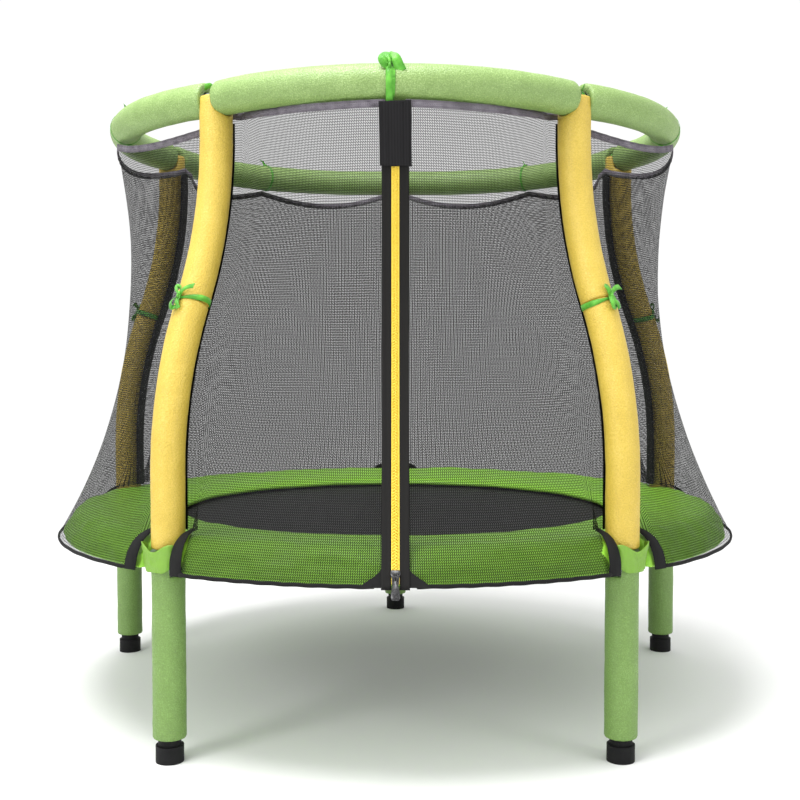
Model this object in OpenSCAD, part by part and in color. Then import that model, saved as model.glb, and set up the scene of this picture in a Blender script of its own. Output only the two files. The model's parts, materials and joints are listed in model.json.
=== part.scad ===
// Children's garden trampoline with a safety enclosure.
// Five legs and five S-bent poles share one steel base ring, and a padded tube
// ring holds the top of the net. The part stands on z = 0 and the centre of the
// base ring is the Z axis. The front, with the zip, faces -Y.

/* [Base frame] */
// Radius of the base ring and of the circle the legs stand on
base_ring_r = 656; // [640:1:680]
// Height of the base ring's centre line
base_ring_z = 345; // [330:1:360]
// Outside diameter of the base ring tube
base_tube_d = 30; // [26:1:32]
// Outside diameter of the leg tube
leg_tube_d = 30; // [26:1:32]
// Wall of the steel tubes
tube_wall = 1.3; // [1:0.1:2]

/* [Legs] */
// Outside diameter of the foam sleeve on a leg
leg_sleeve_d = 57; // [50:1:60]
// Height of the foam sleeve's lower end
leg_sleeve_z = 41; // [35:1:60]
// Height of the foam sleeve's upper end, which is slotted to clear the base ring
leg_sleeve_top = 350; // [320:1:352]
// Outside diameter of a rubber foot cap
foot_d = 48; // [40:1:52]
// Height of the wide part of a foot cap
foot_h = 29; // [20:1:34]

/* [Poles] */
// Outside diameter of the pole tube
pole_tube_d = 25.4; // [22:0.2:26]
// Outside diameter of the foam sleeve on a pole
pole_sleeve_d = 58; // [50:1:60]
// Radius from the centre at which the poles end
pole_top_r = 536; // [500:1:560]
// Height at which a pole starts to bend inward
bend_z = 490; // [470:1:520]
// Radius of a pole's two opposite bends
bend_r = 746; // [700:2:800]

/* [Top ring] */
// Radius of the top ring half way between two poles
ring_mid_r = 561; // [550:1:575]
// Height of the top ring's centre line
ring_z = 1142; // [1130:1:1160]
// Outside diameter of the foam sleeve on the top ring
ring_sleeve_d = 61; // [54:1:64]
// Outside diameter of the top ring tube
ring_tube_d = 22; // [19:0.5:22]

/* [Mat and springs] */
// Radius of the jumping mat
mat_r = 528; // [500:1:540]
// Height of the mat's underside
mat_z = 356; // [350:1:358]
// Springs in each fifth of the frame
springs_per_side = 6; // [4:1:7]
// Outside diameter of a spring
spring_d = 10; // [8:1:12]

/* [Spring pad] */
// Radius of the pad's inner edge
pad_inner_r = 452; // [440:1:470]
// Height of the skirt's lower edge
skirt_z = 334; // [325:1:345]

/* [Net] */
// Thickness of the net panels
net_t = 1.6; // [1.2:0.1:2]
// Height of the net's hem at the poles
hem_z = 1104; // [1090:1:1106]
// Radius of the vertical arc that the middle of each panel follows
net_arc_r = 1049; // [1000:1:1100]
// Distance of that arc's centre from the Z axis
net_arc_out = 1600; // [1580:1:1620]
// Height of that arc's centre
net_arc_z = 871; // [860:1:880]

/* [Zip] */
// Width of the closed zip with its two tapes
zip_w = 45; // [40:1:50]
// Width of the zip's coil
coil_w = 13; // [10:1:15]
// Width of the hook-and-loop flap over the zip's top
flap_w = 53; // [50:1:56]
// Height of the hook-and-loop flap
flap_h = 105; // [90:1:115]

/* [Hidden] */
$fn = 48;
SIDES = 5;
STEP = 360 / SIDES;
FIRST = -90 + STEP / 2;
CLEAR = 0.25;
JOINT_D = 36;
JOINT_ARM_D = 35;
JOINT_TOP_D = 30;
JOINT_LOW_Z = 312;
JOINT_TOP_Z = 376;
JOINT_ARM = 50;
JOINT_STOP = 22;
SLEEVE_SLOT_Z = base_ring_z - JOINT_ARM_D / 2 - 5;
POLE_BOTTOM_Z = base_ring_z - 4;
LEG_TOP_Z = base_ring_z - 8;
LEG_BOLT_Z = 324;
POLE_BOLT_Z = 353;
BOLT_D = 6;
SCREW_D = 4;
SCREW_OFF = 38;
SPRING_Z = 352;
SPRING_IN_R = mat_r + 12;
HOOK_R = 5;
WIRE_R = 1.5;
POLE_SLEEVE_Z = 366;
POCKET_Z = 346;
POCKET_H = 44;
POLE_END_Z = ring_z - 18;
SLEEVE_TOP_Z = ring_z - 14;
POLE_LEAN = acos(1 - (base_ring_r - pole_top_r) / (2 * bend_r));
BEND_MID_Z = bend_z + bend_r * sin(POLE_LEAN);
BEND_END_Z = bend_z + 2 * bend_r * sin(POLE_LEAN);
RING_BORE = 27;
RING_GAP = 13;
TOP_ARM_D = 25.4;
TOP_ARM = 52;
NET_OFF = pole_sleeve_d / 2 + 4.5;
NET_BOTTOM_Z = 335;
NET_POLE_Z = 392;
HEM_SAG = 24;
FRONT_SAG = 3;
PANEL_ROWS = 12;
POLE_HUG = 0.9;
LOW_EDGE_T = [0.72, 0.85];
SEAM_GAP = 0.0006;
PANEL_T = [1 - 2 * SEAM_GAP, POLE_HUG, LOW_EDGE_T[1], LOW_EDGE_T[0], 0.55, 0.37, 0.18];
ZIP_LOW_Z = 328;
ZIP_HIGH_Z = 1100;
CHAIN_GAP = 2;
TAPE_OUT = 3;
TAPE_T = 1.2;
COIL_T = 2.4;
SLIDER_Z = 344;
SLIDER_W = 17;
SLIDER_H = 26;
SLIDER_FRONT = TAPE_OUT + COIL_T + 0.4;
PULL_PIN_OUT = SLIDER_FRONT + 5.2;
PIN_D = 2;
FLAP_Z = 1057;
RIBBON_W = 13;

// Radius of a pole's centre line at height z: upright, bent in, bent back, upright.
function bend_in(h) = bend_r - sqrt(pow(bend_r, 2) - pow(h, 2));
function pole_r(z) =
    z <= bend_z ? base_ring_r
    : z <= BEND_MID_Z ? base_ring_r - bend_in(z - bend_z)
    : z <= BEND_END_Z ? pole_top_r + bend_in(BEND_END_Z - z)
    : pole_top_r;

// Top ring: each fifth is one arc from pole to pole, a little fuller than the circle.
RING_HALF_CHORD = pole_top_r * sin(STEP / 2);
RING_RISE = ring_mid_r - pole_top_r * cos(STEP / 2);
RING_ARC_R = (pow(RING_HALF_CHORD, 2) + pow(RING_RISE, 2)) / (2 * RING_RISE);
RING_HALF_ANGLE = asin(RING_HALF_CHORD / RING_ARC_R);
RING_OFF = ring_mid_r - RING_ARC_R;

function deg(length, radius) = length / radius * 180 / PI;
function pole_angle(i) = FIRST + STEP * i;
function mix(a, b, t) = a + (b - a) * t;
function clamp01(t) = min(1, max(0, t));

module at_pole(i) {
    rotate([0, 0, pole_angle(i)])
        translate([base_ring_r, 0, 0])
            children();
}

module at_side(i) {
    rotate([0, 0, pole_angle(i) + STEP / 2])
        children();
}

module tube(d, wall, z0, z1) {
    difference() {
        translate([0, 0, z0]) cylinder(d = d, h = z1 - z0);
        translate([0, 0, z0 - 1]) cylinder(d = d - 2 * wall, h = z1 - z0 + 2);
    }
}

module annulus(d_out, d_in) {
    difference() {
        circle(d = d_out);
        circle(d = d_in);
    }
}

// Sweeps a 2D section along the lower half of a pole's centre line, from height z0.
module along_pole_low(z0) {
    translate([base_ring_r, 0, z0])
        linear_extrude(bend_z - z0) children();
    translate([base_ring_r - bend_r, 0, bend_z])
        rotate([90, 0, 0])
            rotate_extrude(angle = POLE_LEAN, $fn = 240)
                translate([bend_r, 0]) children();
}

// Sweeps a 2D section along the upper half of a pole's centre line, up to height z1.
module along_pole_high(z1) {
    translate([pole_top_r + bend_r, 0, BEND_END_Z])
        rotate([90, 0, 0])
            rotate([0, 0, 180])
                rotate_extrude(angle = POLE_LEAN, $fn = 240)
                    translate([bend_r, 0]) children();
    translate([pole_top_r, 0, BEND_END_Z])
        linear_extrude(z1 - BEND_END_Z) children();
}

// Places children at the middle of a pole, with Z along the pole.
module at_pole_middle() {
    translate([pole_r(BEND_MID_Z), 0, BEND_MID_Z])
        rotate([0, -POLE_LEAN, 0])
            children();
}

// Sweeps a 2D section along one fifth of the top ring, less trim degrees at each end.
module along_ring(trim) {
    half = RING_HALF_ANGLE - trim;
    translate([RING_OFF, 0, ring_z])
        rotate([0, 0, -half])
            rotate_extrude(angle = 2 * half, $fn = 240)
                translate([RING_ARC_R, 0]) children();
}

// ---- Legs ----

module foot_cap() {
    neck_d = 39;
    neck_top = 44;
    floor_t = 5;
    difference() {
        union() {
            cylinder(d = foot_d, h = foot_h);
            cylinder(d = neck_d, h = leg_sleeve_z - 0.5);
            cylinder(d = leg_tube_d + 4, h = neck_top);
        }
        translate([0, 0, floor_t]) cylinder(d = leg_tube_d + CLEAR, h = neck_top);
    }
}

module foot_caps() {
    color("#272728")
        for (i = [0:SIDES - 1]) at_pole(i) foot_cap();
}

module radial_hole(z, d) {
    translate([0, 0, z])
        rotate([0, 90, 0]) cylinder(d = d, h = 2 * JOINT_D, center = true);
}

module leg_tubes() {
    color("silver")
        for (i = [0:SIDES - 1]) at_pole(i)
            difference() {
                tube(leg_tube_d, tube_wall, 5.3, LEG_TOP_Z);
                radial_hole(LEG_BOLT_Z, BOLT_D + 0.6);
            }
}

module leg_sleeve(i) {
    bore = JOINT_D + 1;
    slot_w = JOINT_ARM_D + 3;
    color("#8fb265")
        at_pole(i)
            difference() {
                tube(leg_sleeve_d, (leg_sleeve_d - bore) / 2, leg_sleeve_z, leg_sleeve_top);
                for (z = [LEG_BOLT_Z, POLE_BOLT_Z])
                    translate([0, 0, z])
                        rotate([0, 90, 0]) cylinder(d = 15, h = 51, center = true);
                for (s = [-1, 1])
                    translate([-slot_w / 2, s > 0 ? 0 : -JOINT_D, SLEEVE_SLOT_Z])
                        cube([slot_w, JOINT_D, 2 * JOINT_D]);
            }
}

// ---- Base ring ----

// Sweeps a 2D section along the base ring between two angles.
module along_base(a0, a1) {
    translate([0, 0, base_ring_z])
        rotate([0, 0, a0])
            rotate_extrude(angle = a1 - a0, $fn = 240)
                translate([base_ring_r, 0]) children();
}

module screw_holes(i, d) {
    for (s = [-1, 1])
        rotate([0, 0, pole_angle(i) + s * deg(SCREW_OFF, base_ring_r)])
            translate([base_ring_r, 0, base_ring_z - JOINT_D])
                cylinder(d = d, h = JOINT_D);
}

// The two straight arms of a joint lie along the ring's chord, from y0 to y1.
module joint_arms(d, y0, y1) {
    chord = deg((JOINT_STOP + JOINT_ARM) / 2, base_ring_r);
    inset = base_ring_r * (1 - cos(deg(JOINT_STOP, base_ring_r)));
    for (s = [-1, 1])
        translate([JOINT_STOP * tan(chord) - inset, 0, base_ring_z])
            rotate([0, 0, s * chord])
                rotate([-90 * s, 0, 0])
                    translate([0, 0, y0]) cylinder(d = d, h = y1 - y0);
}

module frame_joint(i) {
    color("#b9bcc0")
        difference() {
            at_pole(i) {
                joint_arms(JOINT_ARM_D, 0, JOINT_ARM);
                translate([0, 0, JOINT_LOW_Z])
                    cylinder(d = JOINT_D, h = base_ring_z + 19 - JOINT_LOW_Z);
                translate([0, 0, base_ring_z])
                    cylinder(d = JOINT_TOP_D, h = JOINT_TOP_Z - base_ring_z);
            }
            at_pole(i) {
                joint_arms(base_tube_d + 2 * CLEAR, JOINT_STOP, JOINT_ARM + 1);
                translate([0, 0, JOINT_LOW_Z - 1])
                    cylinder(d = leg_tube_d + 2 * CLEAR, h = LEG_TOP_Z + 2 - JOINT_LOW_Z);
                translate([0, 0, POLE_BOTTOM_Z - 1])
                    cylinder(d = pole_tube_d + 2 * CLEAR, h = JOINT_TOP_Z);
                radial_hole(LEG_BOLT_Z, BOLT_D + 0.6);
                radial_hole(POLE_BOLT_Z, BOLT_D + 0.6);
            }
            screw_holes(i, SCREW_D + 0.4);
        }
}

module spring_angles(i) {
    for (k = [0:springs_per_side - 1])
        rotate([0, 0, pole_angle(i) + STEP * (k + 0.5) / springs_per_side])
            children();
}

module frame_tube(i) {
    start = deg(JOINT_STOP + 1.5, base_ring_r);
    next = (i + 1) % SIDES;
    color("#b9bcc0")
        difference() {
            along_base(pole_angle(i) + start, pole_angle(i) + STEP - start)
                annulus(base_tube_d, base_tube_d - 2 * tube_wall);
            screw_holes(i, SCREW_D + 0.4);
            screw_holes(next, SCREW_D + 0.4);
            spring_angles(i)
                translate([base_ring_r - base_tube_d, 0, SPRING_Z])
                    rotate([0, 90, 0])
                        rotate([0, 0, 17]) cylinder(r = WIRE_R + 1, h = base_tube_d - 3);
        }
}

module bolt() {
    head_h = 4;
    shank = JOINT_D + 9;
    rotate([0, 90, 0]) {
        translate([0, 0, JOINT_D / 2 + 0.3]) cylinder(d = 11, h = head_h, $fn = 6);
        translate([0, 0, -shank / 2 - 2]) cylinder(d = BOLT_D, h = shank / 2 + 3 + JOINT_D / 2);
    }
}

module bolt_nut() {
    translate([-JOINT_D / 2 - 0.3 - 5, 0, 0])
        rotate([0, 90, 0])
            difference() {
                cylinder(d = 11, h = 5, $fn = 6);
                translate([0, 0, -1]) cylinder(d = BOLT_D + 0.1, h = 7);
            }
}

module joint_bolts() {
    color("#8c8f94")
        for (i = [0:SIDES - 1])
            for (z = [LEG_BOLT_Z, POLE_BOLT_Z])
                at_pole(i) translate([0, 0, z]) {
                    bolt();
                    bolt_nut();
                }
}

module frame_screws() {
    head_h = 3;
    color("#8c8f94")
        for (i = [0:SIDES - 1])
            for (s = [-1, 1])
                rotate([0, 0, pole_angle(i) + s * deg(SCREW_OFF, base_ring_r)])
                    translate([base_ring_r, 0, base_ring_z - JOINT_ARM_D / 2 - 0.5]) {
                        translate([0, 0, -head_h]) cylinder(d = 9, h = head_h);
                        translate([0, 0, -head_h]) cylinder(d = SCREW_D, h = 14);
                    }
}

// ---- Poles ----

module pole_lower_tubes() {
    color("#b9bcc0")
        for (i = [0:SIDES - 1])
            difference() {
                rotate([0, 0, pole_angle(i)])
                    along_pole_low(POLE_BOTTOM_Z)
                        annulus(pole_tube_d, pole_tube_d - 2 * tube_wall);
                at_pole(i) radial_hole(POLE_BOLT_Z, BOLT_D + 0.6);
            }
}

module pole_upper_tubes() {
    color("#b9bcc0")
        for (i = [0:SIDES - 1])
            rotate([0, 0, pole_angle(i)])
                along_pole_high(POLE_END_Z)
                    annulus(pole_tube_d, pole_tube_d - 2 * tube_wall);
}

// Short inner tubes that join the two halves of each pole.
module pole_couplers() {
    length = 36;
    coupler_d = pole_tube_d - 2 * tube_wall - 0.6;
    color("#8c8f94")
        for (i = [0:SIDES - 1])
            rotate([0, 0, pole_angle(i)])
                at_pole_middle() tube(coupler_d, 1.5, -length / 2, length / 2);
}

module sleeve_ring() {
    annulus(pole_sleeve_d, JOINT_TOP_D + 1);
}

module pole_sleeve_lower(i) {
    color("#f0dc66")
        rotate([0, 0, pole_angle(i)]) along_pole_low(POLE_SLEEVE_Z) sleeve_ring();
}

module pole_sleeve_upper(i) {
    color("#f0dc66")
        rotate([0, 0, pole_angle(i)]) along_pole_high(SLEEVE_TOP_Z) sleeve_ring();
}

// ---- Top ring ----

module top_arm(side) {
    sweep = deg(TOP_ARM, RING_ARC_R);
    stop = deg(TOP_ARM_D / 2, RING_ARC_R);
    start = side > 0 ? -RING_HALF_ANGLE : RING_HALF_ANGLE - sweep;
    bore = side > 0 ? -RING_HALF_ANGLE + stop : RING_HALF_ANGLE - sweep - 1;
    rotate([0, 0, side * STEP / 2])
        translate([RING_OFF, 0, ring_z])
            difference() {
                rotate([0, 0, start])
                    rotate_extrude(angle = sweep, $fn = 240)
                        translate([RING_ARC_R, 0]) circle(d = TOP_ARM_D);
                rotate([0, 0, bore])
                    rotate_extrude(angle = sweep - stop + 1, $fn = 240)
                        translate([RING_ARC_R, 0]) circle(d = ring_tube_d + 2 * CLEAR);
            }
}

module pole_top_joint() {
    spigot_d = pole_tube_d - 2 * tube_wall - 2 * CLEAR;
    boss_d = TOP_ARM_D + 0.6;
    top_arm(-1);
    top_arm(1);
    translate([pole_top_r, 0, 0]) {
        translate([0, 0, POLE_END_Z + 0.3])
            cylinder(d = boss_d, h = ring_z + 13 - POLE_END_Z);
        translate([0, 0, POLE_END_Z - 38]) cylinder(d = spigot_d, h = 42);
    }
}

module pole_top_joints() {
    color("#b9bcc0")
        for (i = [0:SIDES - 1]) rotate([0, 0, pole_angle(i)]) pole_top_joint();
}

module ring_tubes() {
    trim = deg(TOP_ARM_D / 2 + 1.5, RING_ARC_R);
    color("#b9bcc0")
        for (i = [0:SIDES - 1]) at_side(i)
            along_ring(trim) annulus(ring_tube_d, ring_tube_d - 2 * tube_wall);
}

module ring_sleeve(i) {
    color("#b9db95")
        difference() {
            at_side(i) along_ring(deg(RING_GAP, RING_ARC_R)) annulus(ring_sleeve_d, RING_BORE);
            for (k = [i, i + 1])
                rotate([0, 0, pole_angle(k)])
                    translate([pole_top_r, 0, 0])
                        cylinder(d = pole_sleeve_d + 1.2, h = SLEEVE_TOP_Z + 0.5);
        }
}

// ---- Mat and springs ----

module spring() {
    body_in = SPRING_IN_R + HOOK_R + 0.5;
    body_out = base_ring_r - base_tube_d / 2 - 6;
    translate([body_in, 0, SPRING_Z])
        rotate([0, 90, 0]) cylinder(d = spring_d, h = body_out - body_in);
    translate([body_out - 1, 0, SPRING_Z])
        rotate([0, 90, 0]) cylinder(r = WIRE_R, h = 16);
    translate([SPRING_IN_R, 0, SPRING_Z])
        rotate([90, 0, 0])
            rotate_extrude() translate([HOOK_R, 0]) circle(r = WIRE_R);
}

module springs() {
    color("#c9ccd0")
        for (i = [0:SIDES - 1]) spring_angles(i) spring();
}

module mat_rings() {
    half = 13;
    bar = 3;
    inner = mat_r - 18;
    outer = SPRING_IN_R + bar / 2;
    color("#c9ccd0")
        for (i = [0:SIDES - 1]) spring_angles(i)
            translate([0, 0, SPRING_Z - bar / 2])
                linear_extrude(bar)
                    difference() {
                        polygon([[inner, -half], [outer, -2], [outer, 2], [inner, half]]);
                        polygon([[inner + bar, -half + bar + 1], [outer - bar, -1.6],
                                 [outer - bar, 1.6], [inner + bar, half - bar - 1]]);
                    }
}

module mat() {
    color("#2c2c2c")
        translate([0, 0, mat_z]) cylinder(r = mat_r, h = 2.4, $fn = 120);
}

// ---- Pad ----

module spring_pad() {
    profile = [
        [pad_inner_r, 362], [600, 362], [632, 366], [646, 373], [663, 371], [671, 360],
        [677, 347], [680, skirt_z], [687, skirt_z], [684, 348], [677, 363], [668, 376],
        [655, 385], [636, 388], [600, 384], [pad_inner_r + 12, 378], [pad_inner_r, 372]
    ];
    notch = pole_sleeve_d / 2 + 2;
    color("#5f9a2b")
        difference() {
            rotate_extrude($fn = 240) polygon(profile);
            for (i = [0:SIDES - 1]) at_pole(i)
                translate([0, 0, JOINT_LOW_Z]) {
                    cylinder(r = notch, h = 100);
                    translate([0, -notch, 0]) cube([60, 2 * notch, 100]);
                }
        }
}

module pad_straps() {
    strap_w = 16;
    strap_angle = 14;
    gap = deg(strap_w / 2, base_ring_r);
    color("#202020")
        for (i = [0:SIDES - 1])
            for (a = [strap_angle, STEP - strap_angle])
                along_base(pole_angle(i) + a - gap, pole_angle(i) + a + gap)
                    annulus(base_tube_d + 3.6, base_tube_d + 0.8);
}

module pole_pockets() {
    wrap = 104;
    gap = pole_sleeve_d / 2 + 1;
    color("#a5cc52")
        for (i = [0:SIDES - 1]) at_pole(i)
            rotate([0, 0, -wrap / 2])
                rotate_extrude(angle = wrap)
                    translate([gap, POCKET_Z]) square([2, POCKET_H]);
}

// ---- Net ----

// Radius of the middle of a panel at height z.
function panel_mid_r(z) = net_arc_out - sqrt(pow(net_arc_r, 2) - pow(z - net_arc_z, 2));

// How far a point has left the pole line for the middle of its panel: 0 at a pole, 1 at mid.
// t runs from 0 at the middle of the panel to 1 at a pole.
// The lower the point, the closer to the pole the net keeps its full width.
function panel_swell(t, z) =
    let (low = clamp01((1000 - z) / 600))
    t >= POLE_HUG ? 0 : 1 - pow(t / POLE_HUG, 2.2 + 22 * pow(low, 3) + 36 * pow(low, 12));

// Lower edge: it hangs outside the pad, and rises over the pad's edge beside a pole.
function panel_low_z(t) =
    let (rise = clamp01((t - LOW_EDGE_T[0]) / (LOW_EDGE_T[1] - LOW_EDGE_T[0])))
    mix(NET_BOTTOM_Z, NET_POLE_Z, rise);
function hem_sag(a) = a == pole_angle(SIDES - 1) ? FRONT_SAG : HEM_SAG;
function panel_high_z(a, t) = hem_z - hem_sag(a) * sin(180 * t) + 6 * (1 - t);

function net_point(a, u, v, off) =
    let (
        t = abs(2 * u - 1),
        z = mix(panel_low_z(t), panel_high_z(a, t), v),
        r = mix(pole_r(z) - NET_OFF, panel_mid_r(z), panel_swell(t, z)) + off
    )
    [r * cos(a + STEP * u), r * sin(a + STEP * u), z];

// Share of a panel's width between the zip's middle and the net's edge.
ZIP_SHARE = deg(zip_w / 2 - 2, panel_mid_r(NET_BOTTOM_Z)) / STEP;

// Shares of a panel's width at which its columns stand, in the half at each pole.
FIRST_HALF = [for (t = PANEL_T) (1 - t) / 2];
LAST_HALF = [for (k = [len(PANEL_T) - 1:-1:0]) (1 + PANEL_T[k]) / 2];

// One closed thin sheet with a column at each share of the panel that starts at angle a.
module net_sheet(a, shares) {
    cols = len(shares);
    rows = PANEL_ROWS + 1;
    side = cols * rows;
    skin = [for (off = [net_t / 2, -net_t / 2])
        for (j = [0:rows - 1])
            for (u = shares)
                net_point(a, u, j / PANEL_ROWS, off)];
    outer = [for (j = [0:rows - 2]) for (k = [0:cols - 2])
        let (p = j * cols + k)
        each [[p, p + cols, p + 1], [p + 1, p + cols, p + cols + 1]]];
    inner = [for (f = outer) [f[0] + side, f[2] + side, f[1] + side]];
    low = [for (k = [0:cols - 2]) let (p = k)
        each [[p, p + 1, p + side], [p + 1, p + 1 + side, p + side]]];
    high = [for (k = [0:cols - 2]) let (p = (rows - 1) * cols + k)
        each [[p, p + side, p + 1], [p + 1, p + side, p + 1 + side]]];
    left = [for (j = [0:rows - 2]) let (p = j * cols)
        each [[p, p + side, p + cols], [p + cols, p + side, p + cols + side]]];
    right = [for (j = [0:rows - 2]) let (p = j * cols + cols - 1)
        each [[p, p + cols, p + side], [p + cols, p + cols + side, p + side]]];
    polyhedron(points = skin, faces = concat(outer, inner, low, high, left, right));
}

module net_panel(i) {
    color("#303030")
        net_sheet(pole_angle(i), concat(FIRST_HALF, [0.5], LAST_HALF));
}

module net_right() { net_panel(0); }
module net_back_right() { net_panel(1); }
module net_back_left() { net_panel(2); }
module net_left() { net_panel(3); }

module net_front_left() {
    color("#303030")
        net_sheet(pole_angle(SIDES - 1), concat(FIRST_HALF, [0.5 - ZIP_SHARE]));
}

module net_front_right() {
    color("#303030")
        net_sheet(pole_angle(SIDES - 1), concat([0.5 + ZIP_SHARE], LAST_HALF));
}

// Elastic in the net's lower hem, open in the middle of the front for the zip.
module net_elastic() {
    half = 25;
    zip_room = 2 * SLIDER_W;
    color("#1c1c1c")
        difference() {
            for (i = [0:SIDES - 1]) at_side(i)
                rotate([0, 0, -half])
                    rotate_extrude(angle = 2 * half, $fn = 240)
                        translate([691, NET_BOTTOM_Z - 8]) square([8, 6]);
            translate([-zip_room / 2, -800, NET_BOTTOM_Z - 20]) cube([zip_room, 200, 40]);
        }
}

module pole_webbing() {
    web_w = 20;
    web_t = 1.2;
    low = NET_POLE_Z + 2;
    high = hem_z - 6;
    rises = 30;
    heights = [for (k = [0:rises]) mix(low, high, k / rises)];
    inner = NET_OFF + net_t + 0.4;
    outline = concat(
        [for (z = heights) [pole_r(z) - inner, z]],
        [for (k = [rises:-1:0]) [pole_r(heights[k]) - inner - web_t, heights[k]]]);
    color("#1c1c1c")
        for (i = [0:SIDES - 1])
            rotate([0, 0, pole_angle(i)])
                rotate([90, 0, 0])
                    linear_extrude(web_w, center = true) polygon(outline);
}

// ---- Zip ----

function zip_angle(z) = asin((z - net_arc_z) / net_arc_r);

// Sweeps a 2D section up the front arc between two heights. The section's X axis
// points inward from the arc, and its Y axis runs across the front.
module along_zip(z0, z1) {
    translate([0, -net_arc_out, net_arc_z])
        rotate([0, 0, 90])
            rotate([90, 0, 0])
                rotate([0, 0, zip_angle(z0)])
                    rotate_extrude(angle = zip_angle(z1) - zip_angle(z0), $fn = 360)
                        translate([net_arc_r, 0]) children();
}

// Places children on the zip at height z: X across, -Y outward, Z up the zip.
module on_zip(z) {
    translate([0, -net_arc_out, net_arc_z])
        rotate([zip_angle(z), 0, 0])
            translate([0, net_arc_r, 0])
                children();
}

module zip_tapes() {
    color("#262626")
        for (s = [-1, 1])
            along_zip(ZIP_LOW_Z, ZIP_HIGH_Z)
                translate([-TAPE_OUT, s > 0 ? CHAIN_GAP / 2 : -zip_w / 2])
                    square([TAPE_T, zip_w / 2 - CHAIN_GAP / 2]);
}

module zip_coil() {
    color("#f0d84e")
        for (s = [-1, 1])
            along_zip(ZIP_LOW_Z + 6, ZIP_HIGH_Z - 4)
                translate([-TAPE_OUT - COIL_T, s > 0 ? CHAIN_GAP / 2 : -coil_w / 2])
                    square([COIL_T, coil_w / 2 - CHAIN_GAP / 2]);
}

module zip_slider() {
    plate_t = 2;
    web_t = CHAIN_GAP - 0.8;
    back = -TAPE_OUT + TAPE_T + 0.5;
    color("#2a2a2a")
        on_zip(SLIDER_Z) {
            translate([-SLIDER_W / 2, -SLIDER_FRONT - plate_t, -SLIDER_H / 2])
                cube([SLIDER_W, plate_t, SLIDER_H]);
            translate([-SLIDER_W / 2, back, -SLIDER_H / 2]) cube([SLIDER_W, plate_t, SLIDER_H]);
            translate([-web_t / 2, -SLIDER_FRONT - 1, -SLIDER_H / 4])
                cube([web_t, back + SLIDER_FRONT + 2, SLIDER_H / 2]);
            for (s = [-1, 1])
                translate([s * 4 - 1, -PULL_PIN_OUT - 2.4, -3])
                    cube([2, 2.4 + PULL_PIN_OUT - SLIDER_FRONT - 1, 6]);
            translate([-4, -PULL_PIN_OUT, 0])
                rotate([0, 90, 0]) cylinder(d = PIN_D, h = 8);
        }
}

// The tab lies along the zip below the slider's pin and swings out on it.
module zip_pull() {
    eye_d = 6;
    eye_w = 5.4;
    tab_w = 15;
    tab_l = 38;
    tab_t = 2.4;
    shoulder = 8;
    color("#3a3a3a")
        on_zip(SLIDER_Z) translate([0, -PULL_PIN_OUT, 0])
            difference() {
                union() {
                    translate([-eye_w / 2, 0, 0])
                        rotate([0, 90, 0]) cylinder(d = eye_d, h = eye_w);
                    translate([-eye_w / 2, -tab_t / 2, -shoulder])
                        cube([eye_w, tab_t, shoulder]);
                    translate([-tab_w / 2, -tab_t / 2, -tab_l])
                        cube([tab_w, tab_t, tab_l + 1 - shoulder]);
                }
                translate([-tab_w, 0, 0])
                    rotate([0, 90, 0]) cylinder(d = PIN_D + 0.1, h = 2 * tab_w);
            }
}

module zip_flap() {
    flap_t = 2;
    lift = 7.5;
    color("#2b2a2d")
        on_zip(FLAP_Z)
            translate([-flap_w / 2, -lift - flap_t, -flap_h / 2])
                cube([flap_w, flap_t, flap_h]);
}

// ---- Ribbon ties ----

module ribbon_band(d, width) {
    difference() {
        cylinder(d = d + 2.4, h = width, center = true);
        cylinder(d = d + 0.8, h = width + 2, center = true);
    }
}

module pole_ribbons() {
    knot = 7;
    color("#6cc24a")
        for (i = [0:SIDES - 1])
            rotate([0, 0, pole_angle(i)])
                at_pole_middle() {
                    ribbon_band(pole_sleeve_d, RIBBON_W);
                    translate([pole_sleeve_d / 2 + knot - 0.2, 0, 0]) sphere(r = knot - 0.6);
                }
}

module ring_ribbons() {
    knot = 8;
    half = deg(RIBBON_W / 2, RING_ARC_R);
    color("#6cc24a")
        for (i = [0:SIDES - 1]) at_side(i) {
            along_ring(RING_HALF_ANGLE - half) annulus(ring_sleeve_d + 2.4, ring_sleeve_d + 0.8);
            translate([ring_mid_r, 0, ring_z + ring_sleeve_d / 2 + knot]) sphere(r = knot - 0.8);
        }
}

// ---- Assembly ----

foot_caps();
leg_tubes();
for (i = [0:SIDES - 1]) {
    leg_sleeve(i);
    frame_joint(i);
    frame_tube(i);
    pole_sleeve_lower(i);
    pole_sleeve_upper(i);
    ring_sleeve(i);
}
joint_bolts();
frame_screws();
pole_lower_tubes();
pole_upper_tubes();
pole_couplers();
pole_top_joints();
ring_tubes();
springs();
mat();
mat_rings();
spring_pad();
pad_straps();
pole_pockets();
net_right();
net_back_right();
net_back_left();
net_left();
net_front_left();
net_front_right();
net_elastic();
pole_webbing();
zip_tapes();
zip_coil();
zip_slider();
zip_pull();
zip_flap();
pole_ribbons();
ring_ribbons();
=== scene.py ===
"""Looks for the children's trampoline: foam, net, pad, zip, ribbons and springs."""
import json
from math import acos, asin, cos, exp, hypot, pi, radians, sin, sqrt, tan

import bpy
from mathutils import Matrix, Vector, noise


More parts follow.
